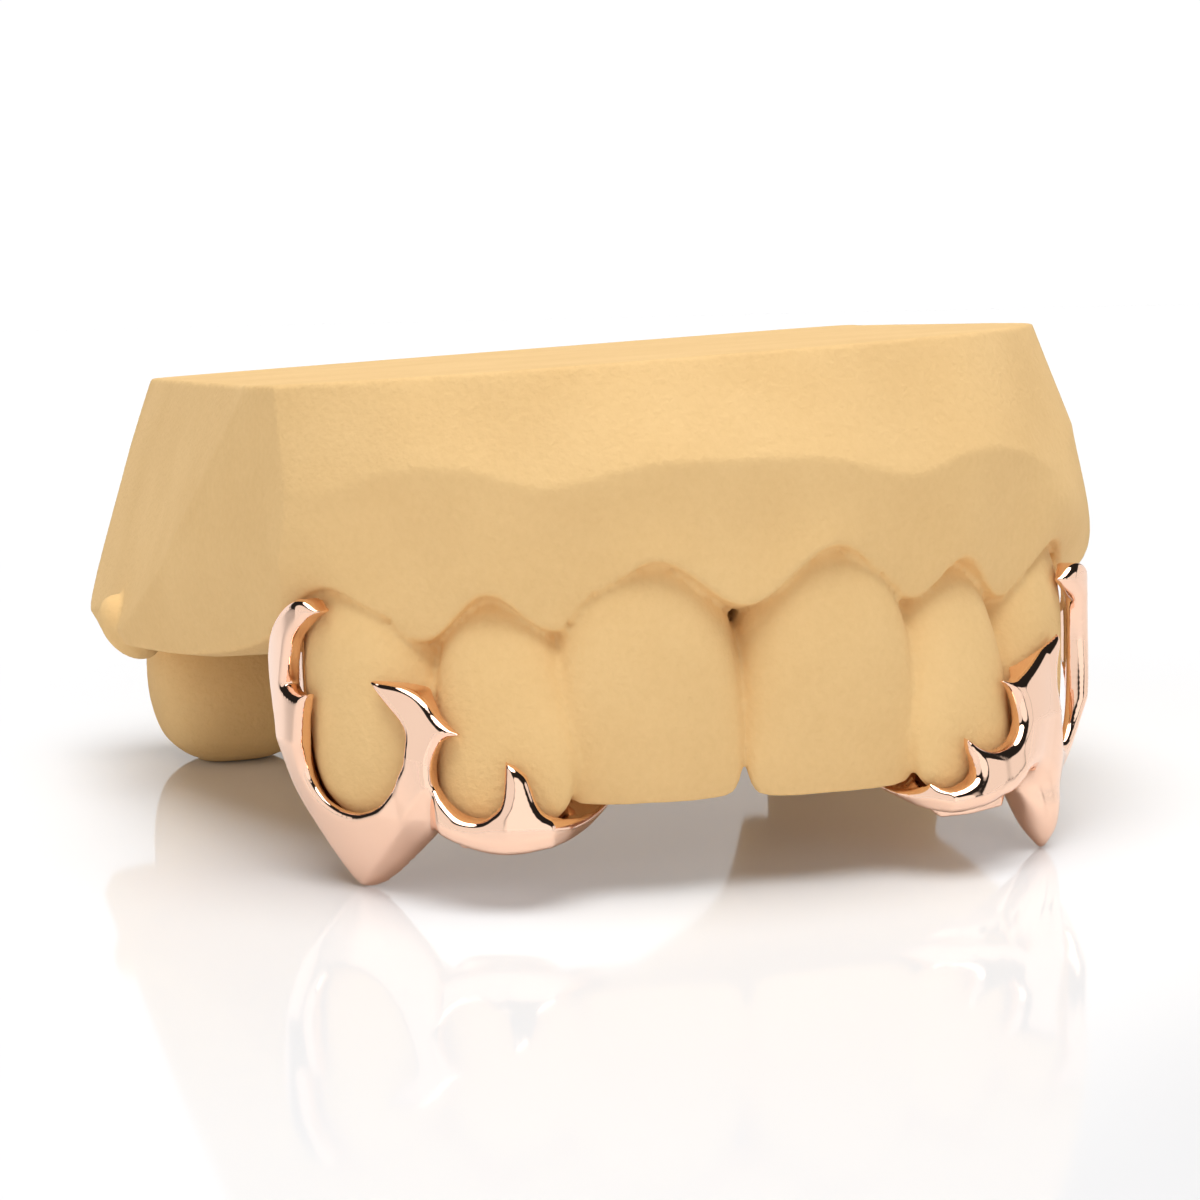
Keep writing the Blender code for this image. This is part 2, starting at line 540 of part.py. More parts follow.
def left_fang():
    turn = math.radians(LEFT_FANG_TURN)
    along = (math.cos(turn), math.sin(turn))
    across = (-math.sin(turn), math.cos(turn))
    rings = []
    for z, x, y, half_l, half_d in reversed(LEFT_FANG):
        x, y, z = in_mm((x, y, z))
        half_l, half_d = half_l * HALF_WIDTH, half_d * HALF_WIDTH
        ring = []
        for i in range(RING_POINTS):
            a = 2 * math.pi * i / RING_POINTS
            u, v = half_l * math.cos(a), half_d * math.sin(a)
            ring.append((x + along[0] * u + across[0] * v, y + along[1] * u + across[1] * v, z))
        rings.append(ring)
    return loft("fang", rings)


def front_block(side):
    """Everything in front of the lingual cups, following the arch line."""
    lengths = np.linspace(*FRONT_BLOCK_RUN, FRONT_BLOCK_STEPS) * ARCH_RUN[side]
    rings = []
    for share in FRONT_BLOCK_HEIGHTS:
        height = share * HEIGHT
        outer = [arch_point(length, height, -FRONT_BLOCK_OUT, side) for length in lengths]
        inner = [arch_point(length, height, FRONT_CUT, side) for length in reversed(lengths)]
        ring = outer + inner
        rings.append(ring if side > 0 else list(reversed(ring)))
    return loft("front_block", rings)


def cap(name, outline, side, word):
    """One fang cap: ornament plate, fang point and lingual cups, with the cast cut out of it."""
    own = [t for t in TEETH if t[0] in ("lateral_" + word[0], "canine_" + word[0])]
    body = loft(name, tooth_rings(own[0], FIT_GAP + CUP_WALL, CUP_TOP_Z))
    combine(body, loft("canine_cup", tooth_rings(own[1], FIT_GAP + CUP_WALL, CUP_TOP_Z)), "UNION")
    combine(body, front_block(side), "DIFFERENCE")
    combine(body, plate("plate", outline, side), "UNION")
    if side > 0:
        combine(body, left_fang(), "UNION")
    near = [t for t in TEETH if t[0].endswith("_" + word[0]) and t[1] != "molar"]
    for tooth in near:
        combine(body, loft("room_" + tooth[0], tooth_rings(tooth, FIT_GAP)), "DIFFERENCE")
    combine(body, cast_body("gum_room", FIT_GAP), "DIFFERENCE")
    return body


def centre_on_floor(pieces):
    """Move all pieces together so the origin is the middle of their box, on the floor."""
    corners = np.array([vertex.co for piece in pieces for vertex in piece.data.vertices])
    low, high = corners.min(axis=0), corners.max(axis=0)
    move = Vector((-(low[0] + high[0]) / 2, -(low[1] + high[1]) / 2, -low[2]))
    for piece in pieces:
        piece.data.transform(Matrix.Translation(move))


def main():
    clear_scene()
    cast = cast_body("tooth_cast")
    for point, normal in SIDE_CUTS:
        combine(cast, side_cut(point, normal), "DIFFERENCE")
    combine(cast, palate_hollow(), "DIFFERENCE")
    for tooth in TEETH:
        combine(cast, loft(tooth[0], tooth_rings(tooth)), "UNION")
    combine(cast, nodule(), "UNION")
    right = cap("right_fang_cap", RIGHT_PLATE, -1, "right")
    left = cap("left_fang_cap", LEFT_PLATE, 1, "left")
    as_piece(cast, paint("cast_stone", (0.76, 0.55, 0.30), 0.0, 0.85))
    as_piece(right, paint("rose_gold_right", (0.90, 0.60, 0.48), 1.0, 0.08))
    as_piece(left, paint("rose_gold_left", (0.90, 0.60, 0.48), 1.0, 0.08))
    centre_on_floor([cast, right, left])


main()
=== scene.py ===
"""Looks of two fang caps on a stone tooth cast: fine surfaces, stone, rose gold, studio."""
import math

import bmesh
import bpy
import numpy as np
import openvdb
from mathutils import Matrix, Vector

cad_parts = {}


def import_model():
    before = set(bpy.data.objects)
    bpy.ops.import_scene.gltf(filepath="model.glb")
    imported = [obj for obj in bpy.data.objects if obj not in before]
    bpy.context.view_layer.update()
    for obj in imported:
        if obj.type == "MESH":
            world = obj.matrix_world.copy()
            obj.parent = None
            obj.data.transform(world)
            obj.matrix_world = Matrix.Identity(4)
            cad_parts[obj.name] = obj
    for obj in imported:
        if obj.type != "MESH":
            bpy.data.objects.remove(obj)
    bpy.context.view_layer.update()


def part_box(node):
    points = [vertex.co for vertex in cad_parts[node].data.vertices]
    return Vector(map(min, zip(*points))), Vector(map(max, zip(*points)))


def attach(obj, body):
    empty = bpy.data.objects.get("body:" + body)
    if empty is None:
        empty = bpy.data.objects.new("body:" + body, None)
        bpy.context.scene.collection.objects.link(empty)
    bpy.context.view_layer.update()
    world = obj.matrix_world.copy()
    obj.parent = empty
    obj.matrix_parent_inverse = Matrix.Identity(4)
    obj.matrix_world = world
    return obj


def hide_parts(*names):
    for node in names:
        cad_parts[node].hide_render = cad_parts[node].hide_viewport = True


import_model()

MM = 0.001

# driving dimensions, mm
HALF_WIDTH = 25.0           # cast, midline to side
LENGTH = 50.0               # cast, front to back
HEIGHT = 25.0               # cast, floor to the front of its trimmed top
FIT_GAP = 0.30              # clearance between cap and cast
PLATE_DEPTH = 2.6           # plate depth before the teeth are cut out of it
PLATE_EDGE = 0.35           # least thickness of its edges
FRONT_CUT = 1.7             # depth at which the lingual cup starts
CUP_WALL = 1.15             # lingual wall thickness
CUP_FLOOR = 0.70            # thickness under the incisal edges
CUP_TOP_Z = 0.328 * HEIGHT  # top of the lingual wall
EDGE_ROUND = 0.12           # rounding under each biting edge

# how the plates lean over the teeth, and how their wings tuck in
LEAN = 0.28                 # backward lean of labial faces above LEAN_Z
LEAN_Z = 0.16 * HEIGHT
LEAST_LEAN = 0.15           # share of the lean that is left where it has faded out
LEAN_FADE = (0.54, 0.75)    # shares of the arch run over which it fades out
LEAN_PASSES = 3             # rounds in which arch length and lean settle
POINT_LEAN = 0.30           # inward lean of the plate below POINT_LEAN_Z, towards the fang point
POINT_LEAN_Z = 0.28 * HEIGHT
POINT_LEAN_FROM = (0.44, 0.54)      # shares of the run over which it sets in
TAIL_START = 0.294          # share of the run where a wing starts to pass behind the centrals
TAIL_TUCK = 0.95            # inward shift per mm of arch length from there

# trimmed top of the cast and lean of the crowns
TOP_Z = 1.016 * HEIGHT      # height of the trimmed top at the middle
TOP_TILT_X = 0.05
TOP_TILT_Y = -0.012
CROWN_MIDDLE_Z = 0.28 * HEIGHT      # height from which the crowns lean and slant
CROWN_LEAN_STOP = 0.12 * HEIGHT     # and how far below it they still lean

# the arch frame has its origin between the centrals, on the floor; this is where the cast's
# left side and its back lie in it
CAST_SIDE_X = 28.252
CAST_BACK_Y = 51.435

# line of the plates' outer face in plan: y as share of LENGTH, x of HALF_WIDTH on the wearer's
# right and on the left
ARCH_LINE = [
    (-0.012, 0.0, 0.0), (-0.014, 0.24, 0.24), (-0.014, 0.36, 0.36), (-0.008, 0.47, 0.47),
    (0.009, 0.54, 0.54), (0.034, 0.62, 0.62), (0.068, 0.696, 0.696), (0.108, 0.76, 0.764),
    (0.14, 0.8, 0.812), (0.172, 0.828, 0.844), (0.212, 0.848, 0.872), (0.26, 0.856, 0.888),
    (0.34, 0.86, 0.9),
]

# crowns: name, kind, x, y of the labial face, turn deg, width, depth, edge z, neck z, lean, slant;
# x and width are shares of HALF_WIDTH, y and depth of LENGTH, heights of HEIGHT
TEETH = [
    ("central_r", "central", -0.182, 0.003, 4.0, 0.356, 0.144, 0.182, 0.644, 0.02, 0.0),
    ("central_l", "central", 0.182, 0.003, -4.0, 0.36, 0.144, 0.178, 0.652, 0.02, 0.0),
    ("lateral_r", "lateral", -0.472, 0.028, 25.0, 0.28, 0.124, 0.15, 0.564, 0.23, 0.1),
    ("lateral_l", "lateral", 0.476, 0.03, -25.0, 0.288, 0.124, 0.154, 0.608, 0.23, 0.1),
    ("canine_r", "canine", -0.72, 0.126, 50.0, 0.344, 0.164, 0.128, 0.584, 0.05, 0.25),
    ("canine_l", "canine", 0.72, 0.124, -50.0, 0.344, 0.164, 0.128, 0.6, 0.05, 0.25),
    ("molar_r", "molar", -1.016, 0.86, 84.0, 0.4, 0.22, 0.0048, 0.344, -0.06, 0.0),
    ("molar_l", "molar", 1.016, 0.86, -84.0, 0.4, 0.22, 0.0048, 0.344, -0.06, 0.0),
]

# crown sections by kind, as shares: height, width, depth, setback of the labial face over depth
CROWNS = {
    "central": [
        (0.0, 0.78, 0.1, 0.132), (0.03, 0.9, 0.19, 0.1), (0.12, 0.97, 0.3, 0.058),
        (0.35, 1.0, 0.52, 0.008), (0.6, 0.97, 0.78, 0.0), (0.82, 0.86, 0.95, 0.042),
        (1.0, 0.76, 1.0, 0.111), (1.25, 0.66, 0.9, 0.25),
    ],
    "lateral": [
        (0.0, 0.55, 0.12, 0.145), (0.04, 0.74, 0.22, 0.105), (0.13, 0.91, 0.34, 0.056),
        (0.35, 1.0, 0.55, 0.008), (0.6, 0.97, 0.8, 0.0), (0.82, 0.86, 0.95, 0.048),
        (1.0, 0.74, 1.0, 0.129), (1.25, 0.64, 0.9, 0.274),
    ],
    "canine": [
        (0.0, 0.2, 0.12, 0.116), (0.05, 0.46, 0.24, 0.085), (0.14, 0.76, 0.38, 0.046),
        (0.3, 0.96, 0.58, 0.01), (0.48, 1.0, 0.76, 0.0), (0.7, 0.95, 0.92, 0.002),
        (0.86, 0.86, 1.0, 0.018), (1.0, 0.76, 1.0, 0.055), (1.25, 0.66, 0.9, 0.146),
    ],
    "molar": [
        (0.0, 0.42, 0.4, 0.236), (0.07, 0.66, 0.62, 0.136), (0.2, 0.88, 0.86, 0.05),
        (0.45, 1.0, 0.98, 0.005), (0.75, 0.96, 1.0, 0.009), (1.0, 0.88, 0.94, 0.05),
        (1.4, 0.8, 0.86, 0.109),
    ],
}

# cast body, half, front to back. Rings: top, land, swell, gum, ridge foot, each x, y, z as
# shares of HALF_WIDTH, LENGTH and HEIGHT
CAST_ROWS = [
    ((0.0, 0.05, 0.0), (0.0, 0.004, 0.82), (0.0, 0.012, 0.688),
     (0.0, 0.006, 0.548), (0.0, 0.052, 0.512)),
    ((0.18, 0.054, 0.0), (0.18, 0.006, 0.816), (0.18, 0.01, 0.72),
     (0.18, 0.006, 0.64), (0.18, 0.052, 0.584)),
    ((0.352, 0.068, 0.0), (0.356, 0.024, 0.776), (0.352, 0.034, 0.68),
     (0.348, 0.042, 0.508), (0.332, 0.084, 0.476)),
    ((0.492, 0.098, 0.0), (0.5, 0.054, 0.812), (0.488, 0.056, 0.696),
     (0.48, 0.06, 0.58), (0.456, 0.1, 0.532)),
    ((0.608, 0.132, 0.0), (0.628, 0.094, 0.808), (0.612, 0.104, 0.672),
     (0.592, 0.106, 0.484), (0.556, 0.144, 0.448)),
    ((0.752, 0.198, 0.0), (0.78, 0.166, 0.76), (0.772, 0.158, 0.68),
     (0.756, 0.16, 0.584), (0.704, 0.192, 0.528)),
    ((0.884, 0.296, 0.0), (0.916, 0.28, 0.832), (0.92, 0.264, 0.62),
     (0.856, 0.268, 0.464), (0.792, 0.288, 0.416)),
    ((0.916, 0.44, 0.0), (1.008, 0.44, 0.812), (1.056, 0.42, 0.532),
     (0.984, 0.44, 0.396), (0.904, 0.45, 0.356)),
    ((0.916, 0.64, 0.0), (1.032, 0.64, 0.8), (1.096, 0.64, 0.48),
     (1.048, 0.64, 0.356), (0.976, 0.64, 0.316)),
    ((0.916, 0.86, 0.0), (1.04, 0.86, 0.784), (1.104, 0.86, 0.456),
     (1.056, 0.86, 0.32), (0.992, 0.86, 0.28)),
    ((0.856, 0.99, 0.0), (0.96, 1.004, 0.776), (1.032, 1.008, 0.448),
     (1.0, 1.0, 0.32), (0.944, 0.988, 0.28)),
    ((0.0, 1.01, 0.0), (0.0, 1.02, 0.776), (0.0, 1.03, 0.448), (0.0, 1.026, 0.32),
     (0.0, 1.012, 0.28)),
]
TOP_SHIFT = (-0.064, -0.016, 0.0, 0.0, 0.0)    # sideways shift of each ring, over HALF_WIDTH
LEFT_RISE = (0.0, 0.0, 0.008, 0.028, 0.028)    # its rise on the wearer's left, over HEIGHT

RIDGE_CREST = 0.80      # crest loop on the ridge's underside, as a share of the foot loop
RIDGE_MIDDLE_Y = 0.54 * LENGTH          # the point it shrinks towards
RIDGE_FRONT_Z = 0.488 * HEIGHT          # height of that crest at the front
RIDGE_FALL = 0.25 * HEIGHT / LENGTH     # how fast it comes down towards the back, per mm
RIDGE_BACK_Z = 0.268 * HEIGHT           # where it stops coming down
NODULE = (-1.08, 0.72, 0.38)            # stone tab beside the right molar
NODULE_RADII = (1.5, 1.5, 2.2)
NODULE_TURN = -38.0

# flat cuts that trim the wearer's right side: a point on each, as such shares, and its normal
SIDE_CUTS = [
    ((-0.988, 1.02, 0.944), (-0.952, -0.071, 0.297)),
    ((-1.044, 0.522, 0.536), (-0.952, -0.305, 0.026)),
    ((-1.044, 0.522, 0.536), (-0.923, -0.33, -0.198)),
]
SIDE_BULGE = 1.0        # stone left outside the cuts before they are made
CUT_BLOCK = 160.0       # size of the block that makes a cut
BULGE_FROM = 0.24 * LENGTH          # where SIDE_BULGE starts
BULGE_OVER = 0.16 * LENGTH          # and the length over which it sets in
RISE_OVER = 0.32 * HALF_WIDTH       # distance from the midline over which LEFT_RISE sets in

# palate hollow, half, front to back. Rings: under, rim, vault, crown, each x, y, z as such shares
PALATE_ROWS = [
    ((0.0, 0.2, 0.08), (0.0, 0.212, 0.44), (0.0, 0.26, 0.62), (0.0, 0.38, 0.76)),
    ((0.24, 0.224, 0.08), (0.24, 0.236, 0.432), (0.2, 0.288, 0.612), (0.104, 0.4, 0.756)),
    ((0.416, 0.3, 0.08), (0.4, 0.308, 0.408), (0.336, 0.36, 0.592), (0.184, 0.46, 0.744)),
    ((0.504, 0.42, 0.08), (0.488, 0.424, 0.368), (0.408, 0.48, 0.568), (0.224, 0.56, 0.732)),
    ((0.544, 0.64, 0.08), (0.528, 0.64, 0.312), (0.448, 0.66, 0.552), (0.24, 0.72, 0.72)),
    ((0.552, 0.86, 0.08), (0.536, 0.86, 0.272), (0.464, 0.86, 0.544), (0.248, 0.88, 0.712)),
    ((0.552, 1.16, 0.08), (0.536, 1.16, 0.264), (0.464, 1.16, 0.536), (0.248, 1.16, 0.704)),
]

# plate outlines, counter-clockwise seen from the front: shares of the arch line's run and of HEIGHT
RIGHT_PLATE = [
    (0.1773, 0.1704), (0.2043, 0.1476), (0.2283, 0.1328), (0.2614, 0.1228), (0.2974, 0.1176),
    (0.3305, 0.1104), (0.3605, 0.108), (0.3906, 0.1104), (0.4176, 0.1184), (0.4506, 0.1332),
    (0.4777, 0.1424), (0.5047, 0.118), (0.5468, 0.078), (0.5888, 0.04), (0.6219, 0.0132),
    (0.6429, 0.002), (0.6564, 0.0), (0.6699, 0.0036), (0.688, 0.0192), (0.712, 0.05),
    (0.736, 0.082), (0.7631, 0.116), (0.7901, 0.15), (0.8111, 0.188), (0.8172, 0.24), (0.8202, 0.3),
    (0.8322, 0.344), (0.8472, 0.396), (0.8472, 0.448), (0.8232, 0.492), (0.7751, 0.534),
    (0.733, 0.558), (0.697, 0.56), (0.6609, 0.54), (0.697, 0.522), (0.739, 0.484), (0.7571, 0.44),
    (0.7721, 0.39), (0.7541, 0.38), (0.727, 0.376), (0.706, 0.38), (0.721, 0.336), (0.73, 0.29),
    (0.739, 0.232), (0.73, 0.2), (0.709, 0.176), (0.676, 0.16), (0.6369, 0.156), (0.6039, 0.166),
    (0.5738, 0.184), (0.5438, 0.216), (0.5287, 0.242), (0.5137, 0.268), (0.5077, 0.296),
    (0.5047, 0.326), (0.5137, 0.348), (0.5287, 0.368), (0.5468, 0.392), (0.5618, 0.416),
    (0.5227, 0.4132), (0.4987, 0.408), (0.4777, 0.396), (0.4627, 0.378), (0.4506, 0.356),
    (0.4326, 0.334), (0.4191, 0.324), (0.4446, 0.3132), (0.4566, 0.296), (0.4657, 0.272),
    (0.4687, 0.248), (0.4657, 0.226), (0.4476, 0.196), (0.4266, 0.176), (0.3996, 0.172),
    (0.3785, 0.186), (0.3665, 0.2), (0.3605, 0.222), (0.3575, 0.25), (0.3545, 0.278),
    (0.3395, 0.2692), (0.3245, 0.252), (0.3184, 0.228), (0.3124, 0.202), (0.3034, 0.184),
    (0.2824, 0.1712), (0.2463, 0.162), (0.2163, 0.166), (0.1923, 0.174),
]
LEFT_PLATE = [
    (0.1845, 0.188), (0.2024, 0.172), (0.2203, 0.1588), (0.2411, 0.1448), (0.2619, 0.1344),
    (0.2828, 0.1296), (0.3095, 0.1288), (0.3363, 0.1328), (0.3631, 0.1384), (0.3869, 0.146),
    (0.4137, 0.152), (0.4375, 0.166), (0.4673, 0.18), (0.503, 0.176), (0.5417, 0.15),
    (0.5804, 0.124), (0.6191, 0.11), (0.6548, 0.12), (0.6846, 0.16), (0.7024, 0.212),
    (0.7292, 0.284), (0.7649, 0.36), (0.7709, 0.44), (0.756, 0.504), (0.7292, 0.548),
    (0.6965, 0.56), (0.6608, 0.556), (0.6221, 0.532), (0.6518, 0.51), (0.6995, 0.48),
    (0.7173, 0.432), (0.7173, 0.368), (0.6995, 0.296), (0.6786, 0.236), (0.6518, 0.2),
    (0.6191, 0.188), (0.5953, 0.204), (0.5774, 0.248), (0.5715, 0.3), (0.5774, 0.352),
    (0.5953, 0.4), (0.6012, 0.428), (0.5655, 0.416), (0.5328, 0.4032), (0.4881, 0.378),
    (0.4643, 0.366), (0.4405, 0.3568), (0.4093, 0.366), (0.4286, 0.348), (0.4405, 0.324),
    (0.4465, 0.3), (0.4465, 0.276), (0.4316, 0.252), (0.4137, 0.2388), (0.384, 0.2348),
    (0.3542, 0.244), (0.3259, 0.268), (0.3274, 0.244), (0.3334, 0.224), (0.3363, 0.208),
    (0.3334, 0.194), (0.3215, 0.182), (0.3006, 0.1736), (0.2828, 0.176), (0.2694, 0.19),
    (0.2634, 0.18), (0.25, 0.168), (0.2292, 0.1656), (0.2083, 0.176),
]

# the left fang is a round point, by sections: z over HEIGHT, x over HALF_WIDTH, y over LENGTH,
# half length and half depth over HALF_WIDTH
LEFT_FANG = [
    (0.296, 0.678, 0.113, 0.04, 0.028), (0.24, 0.668, 0.108, 0.06, 0.042),
    (0.184, 0.652, 0.106, 0.072, 0.054), (0.136, 0.648, 0.104, 0.07, 0.058),
    (0.092, 0.654, 0.099, 0.058, 0.052), (0.044, 0.66, 0.095, 0.0368, 0.0368),
    (0.01, 0.664, 0.0932, 0.0144, 0.0136), (0.0, 0.6648, 0.0932, 0.0048, 0.0048),
]
LEFT_FANG_TURN = 44.0

# the right fang is the plate's own point, with a facet beside a ridge from RIDGE_TOP to RIDGE_TIP
RIDGE_TOP = (0.5167, 0.176)
RIDGE_TIP = (0.6579, 0.0)
FACET_FROM = 0.463       # share of the run where the facet sets in
FACET_SLOPE = 0.9
POINT_BACK = (1.0, 0.55)    # depth of the plate at its lowest point, and its gain per mm of height

# fine surfaces, mm
CAST_VOXEL = 0.17       # grain of the cast's surface
CAST_SMOOTHING = 2      # passes that soften the gum grooves and trimmed edges
CAST_TRIANGLES = 150000
CAP_VOXEL = 0.09
CAP_SMOOTHING = 5
UPPER_RIM = (0.42, 0.40)    # width and fall of the rounding along edges that face up
LOWER_RIM = (0.95, 0.55)    # and along edges that face down
POINT_RIM = (0.40, 0.28)    # and there along the right fang
POINT_RIM_FROM = (0.43, 0.50)   # shares of the run over which that sets in
BACK_RIM = 0.9          # rounding of the edges behind
TAIL_SCOOP = 1.2        # how far a wing's tail rises towards its back
TAIL_BLEND = 1.5        # length and depth over which that sets in
GUM_GROOVE = 0.34       # furrow where each crown leaves the gum
NECK_TUCK = 1.6         # slope at which a crown draws back under the gum
NECK_SHARE = 0.78       # share of its height where that starts
GUM_LIP = 0.5           # how far the gum's underside is filled out to a full lip
BLEND_FANG = 1.0        # fillet between plate and fang point
BLEND_CUP = 0.35        # fillet between plate and cups
EDGE_BREAK = 0.05       # rounding where the tooth room cuts the metal
FACET_EDGE = 0.12       # rounding of the right fang's ridge
FACET_CORNER = 0.3      # and where its facet ends
TAIL_FACE = 0.4         # share of TAIL_BLEND below a tail's face that isn't scooped
SMOOTH_FACTOR = 0.5
CROWN_UNDERSIDE = 0.6   # size of a crown's underside, as a share of its lowest section
UNDERSIDE_BACK = 0.3    # how far that draws back, as a share of what the crown is grown by
MOLAR_POWER = 0.72      # exponents of a crown's sections: 1 is an ellipse, less is squarer
CROWN_POWER = 0.86

# steps of the curves and lofts
CROWN_POINTS = 64       # points round a crown, or round the left fang
CROWN_STEPS = 5         # sections between two rows of a crown's table
FANG_STEPS = 6
BODY_STEPS = 8          # points between two of a body ring's, and rings between two of its levels
PALATE_POINTS = 6
PALATE_STEPS = 5
BASE_SHARES = (0.25, 0.5, 0.75, 1.0)    # rings between the land and the trimmed top
ARCH_STEPS = 12
QUARTERS = (0.0, 0.25, 0.5, 0.75)
ARCH_REACH = 8          # steps by which the arch line goes straight on past its end
OUTLINE_STEPS = 5
CORNER_TURN = math.radians(58)          # bend from which an outline's point stays sharp

# grids and tables, mm
CAP_X = (5.0, 24.5)     # room in which a cap is worked out, with x on the left side
CAP_Y = (-3.2, 17.5)
CAP_Z = (-0.5, 14.6)
OUTSIDE = 0.5           # distance that stands for all places outside it
BLEND_MARGIN = 0.2      # how far past its fillet the fang's distances reach
CUP_BAND = 0.6          # how far the cups' distances reach
ROOM_BAND = 0.3         # how far past the fit gap the cast's distances reach
ARCH_LOW = (3.0, -8.0)  # plan of the table of arch lengths
ARCH_HIGH = (26.0, 20.0)
ARCH_PITCH = 0.1
OUTLINE_MARGIN = 0.6
OUTLINE_PITCH = 0.05
FACING_BLUR = 30        # passes that soften the change between edges that face up and down
TABLE_END = 1.001       # keeps a reading inside its table
TINY = 1e-6

# materials
STONE_TINTS = ((0.32, (0.800, 0.525, 0.232, 1)), (0.68, (0.860, 0.580, 0.268, 1)))
STONE_SURFACE = {"Roughness": 0.92, "Specular IOR Level": 0.25}
STONE_GRAIN = {"Scale": 3000.0, "Detail": 4.0}
STONE_CLOUD = {"Scale": 160.0, "Detail": 3.0}
STONE_MIX = {"Factor": 0.35}            # share of the grain in the tint
STONE_BUMP = {"Strength": 0.8, "Distance": 0.00008}
GOLD_TINTS = ((0.0, (0.945, 0.635, 0.475, 1)), (1.0, (0.965, 0.670, 0.510, 1)))
GOLD_SURFACE = {"Metallic": 1.0}
GOLD_SMEAR = {"Scale": 500.0, "Detail": 3.0}
GOLD_GLOSS = {"To Min": 0.03, "To Max": 0.07}
FLOOR_SURFACE = {"Base Color": (0.86, 0.86, 0.87, 1), "Roughness": 0.06, "IOR": 1.22}
FLOOR_SIZE = 6.0        # m
FLOOR_Z = -0.00002

# white cards and softboxes round the object: direction, angular radius and feather in degrees,
# strength
STUDIO = [
    ((0.0, 1.0, -0.60), 52.0, 6.0, 1.02),
    ((0.0, -0.12, 1.0), 24.0, 5.0, 4.8),
    ((-1.0, -0.50, 0.12), 36.0, 7.0, 0.95),
    ((0.10, -1.0, 0.10), 28.0, 8.0, 1.15),
    ((0.90, 0.35, 0.10), 24.0, 4.0, 0.95),
    ((0.90, -0.45, 0.08), 19.0, 4.0, 0.95),
]
STUDIO_DARK = 0.02      # what lies between them

CAMERA_PLACE = (-32.46, -106.17, 28.17)     # in the arch frame, mm
CAMERA_YAW = 13.380
CAMERA_PITCH = 7.216
CAMERA_ROLL = -1.196
CAMERA_LENS = 72.0
CAMERA_SENSOR = 36.0
CAMERA_CLIP = 0.005     # m


def in_mm(point):
    """Point in mm from shares of the cast's half width, length and height."""
    return tuple(share * size for share, size in zip(point, (HALF_WIDTH, LENGTH, HEIGHT)))


def to_row_frame():
    """Matrix from the arch frame in mm to the row frame in metres."""
    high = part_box("tooth_cast")[1]
    place = Vector((high.x - CAST_SIDE_X * MM, high.y - CAST_BACK_Y * MM, 0.0))
    return Matrix.Translation(place) @ Matrix.Scale(MM, 4)


def new_object(name, points, faces):
    """Mesh object in the scene."""
    mesh = bpy.data.meshes.new(name)
    mesh.from_pydata([tuple(p) for p in points], [], [tuple(f) for f in faces])
    mesh.validate()
    mesh.update()
    obj = bpy.data.objects.new(name, mesh)
    bpy.context.scene.collection.objects.link(obj)
    return obj


def catmull(p0, p1, p2, p3, t):
    """Point at share t between p1 and p2 on a Catmull-Rom curve."""
    square = (2 * p0 - 5 * p1 + 4 * p2 - p3) * t * t
    cube = (3 * p1 - p0 - 3 * p2 + p3) * t ** 3
    return 0.5 * (2 * p1 + (p2 - p0) * t + square + cube)


def smooth_loop(loop, steps):
    """Closed Catmull-Rom curve through the points."""
    points = np.array(loop, dtype=float)
    before, after, beyond = np.roll(points, 1, 0), np.roll(points, -1, 0), np.roll(points, -2, 0)
    rows = [catmull(before, points, after, beyond, step / steps) for step in range(steps)]
    return np.stack(rows, axis=1).reshape(-1, points.shape[1])


def smooth_levels(levels, steps):
    """Open Catmull-Rom curve through a stack of rings, or of rows of numbers."""
    levels = [np.array(level, dtype=float) for level in levels]
    levels = [2 * levels[0] - levels[1]] + levels + [2 * levels[-1] - levels[-2]]
    result = []
    for i in range(1, len(levels) - 2):
        for step in range(steps):
            result.append(catmull(*levels[i - 1:i + 3], step / steps))
    result.append(levels[-2])
    return result


def loft(name, rings):
    """Closed solid through rings of equal count, lowest first, counter-clockwise from above."""
    count = len(rings[0])
    points = np.concatenate([np.array(ring, dtype=float) for ring in rings])
    i = np.arange(count)
    j = (i + 1) % count
    faces = []
    for low in range(0, (len(rings) - 1) * count, count):
        high = low + count
        faces += np.stack([low + i, low + j, high + j, high + i], axis=1).tolist()
    hubs = np.array([np.mean(rings[0], axis=0), np.mean(rings[-1], axis=0)])
    last = (len(rings) - 1) * count
    faces += [(len(points), int(b), int(a)) for a, b in zip(i, j)]
    faces += [(len(points) + 1, last + int(a), last + int(b)) for a, b in zip(i, j)]
    return new_object(name, np.concatenate([points, hubs]), faces)


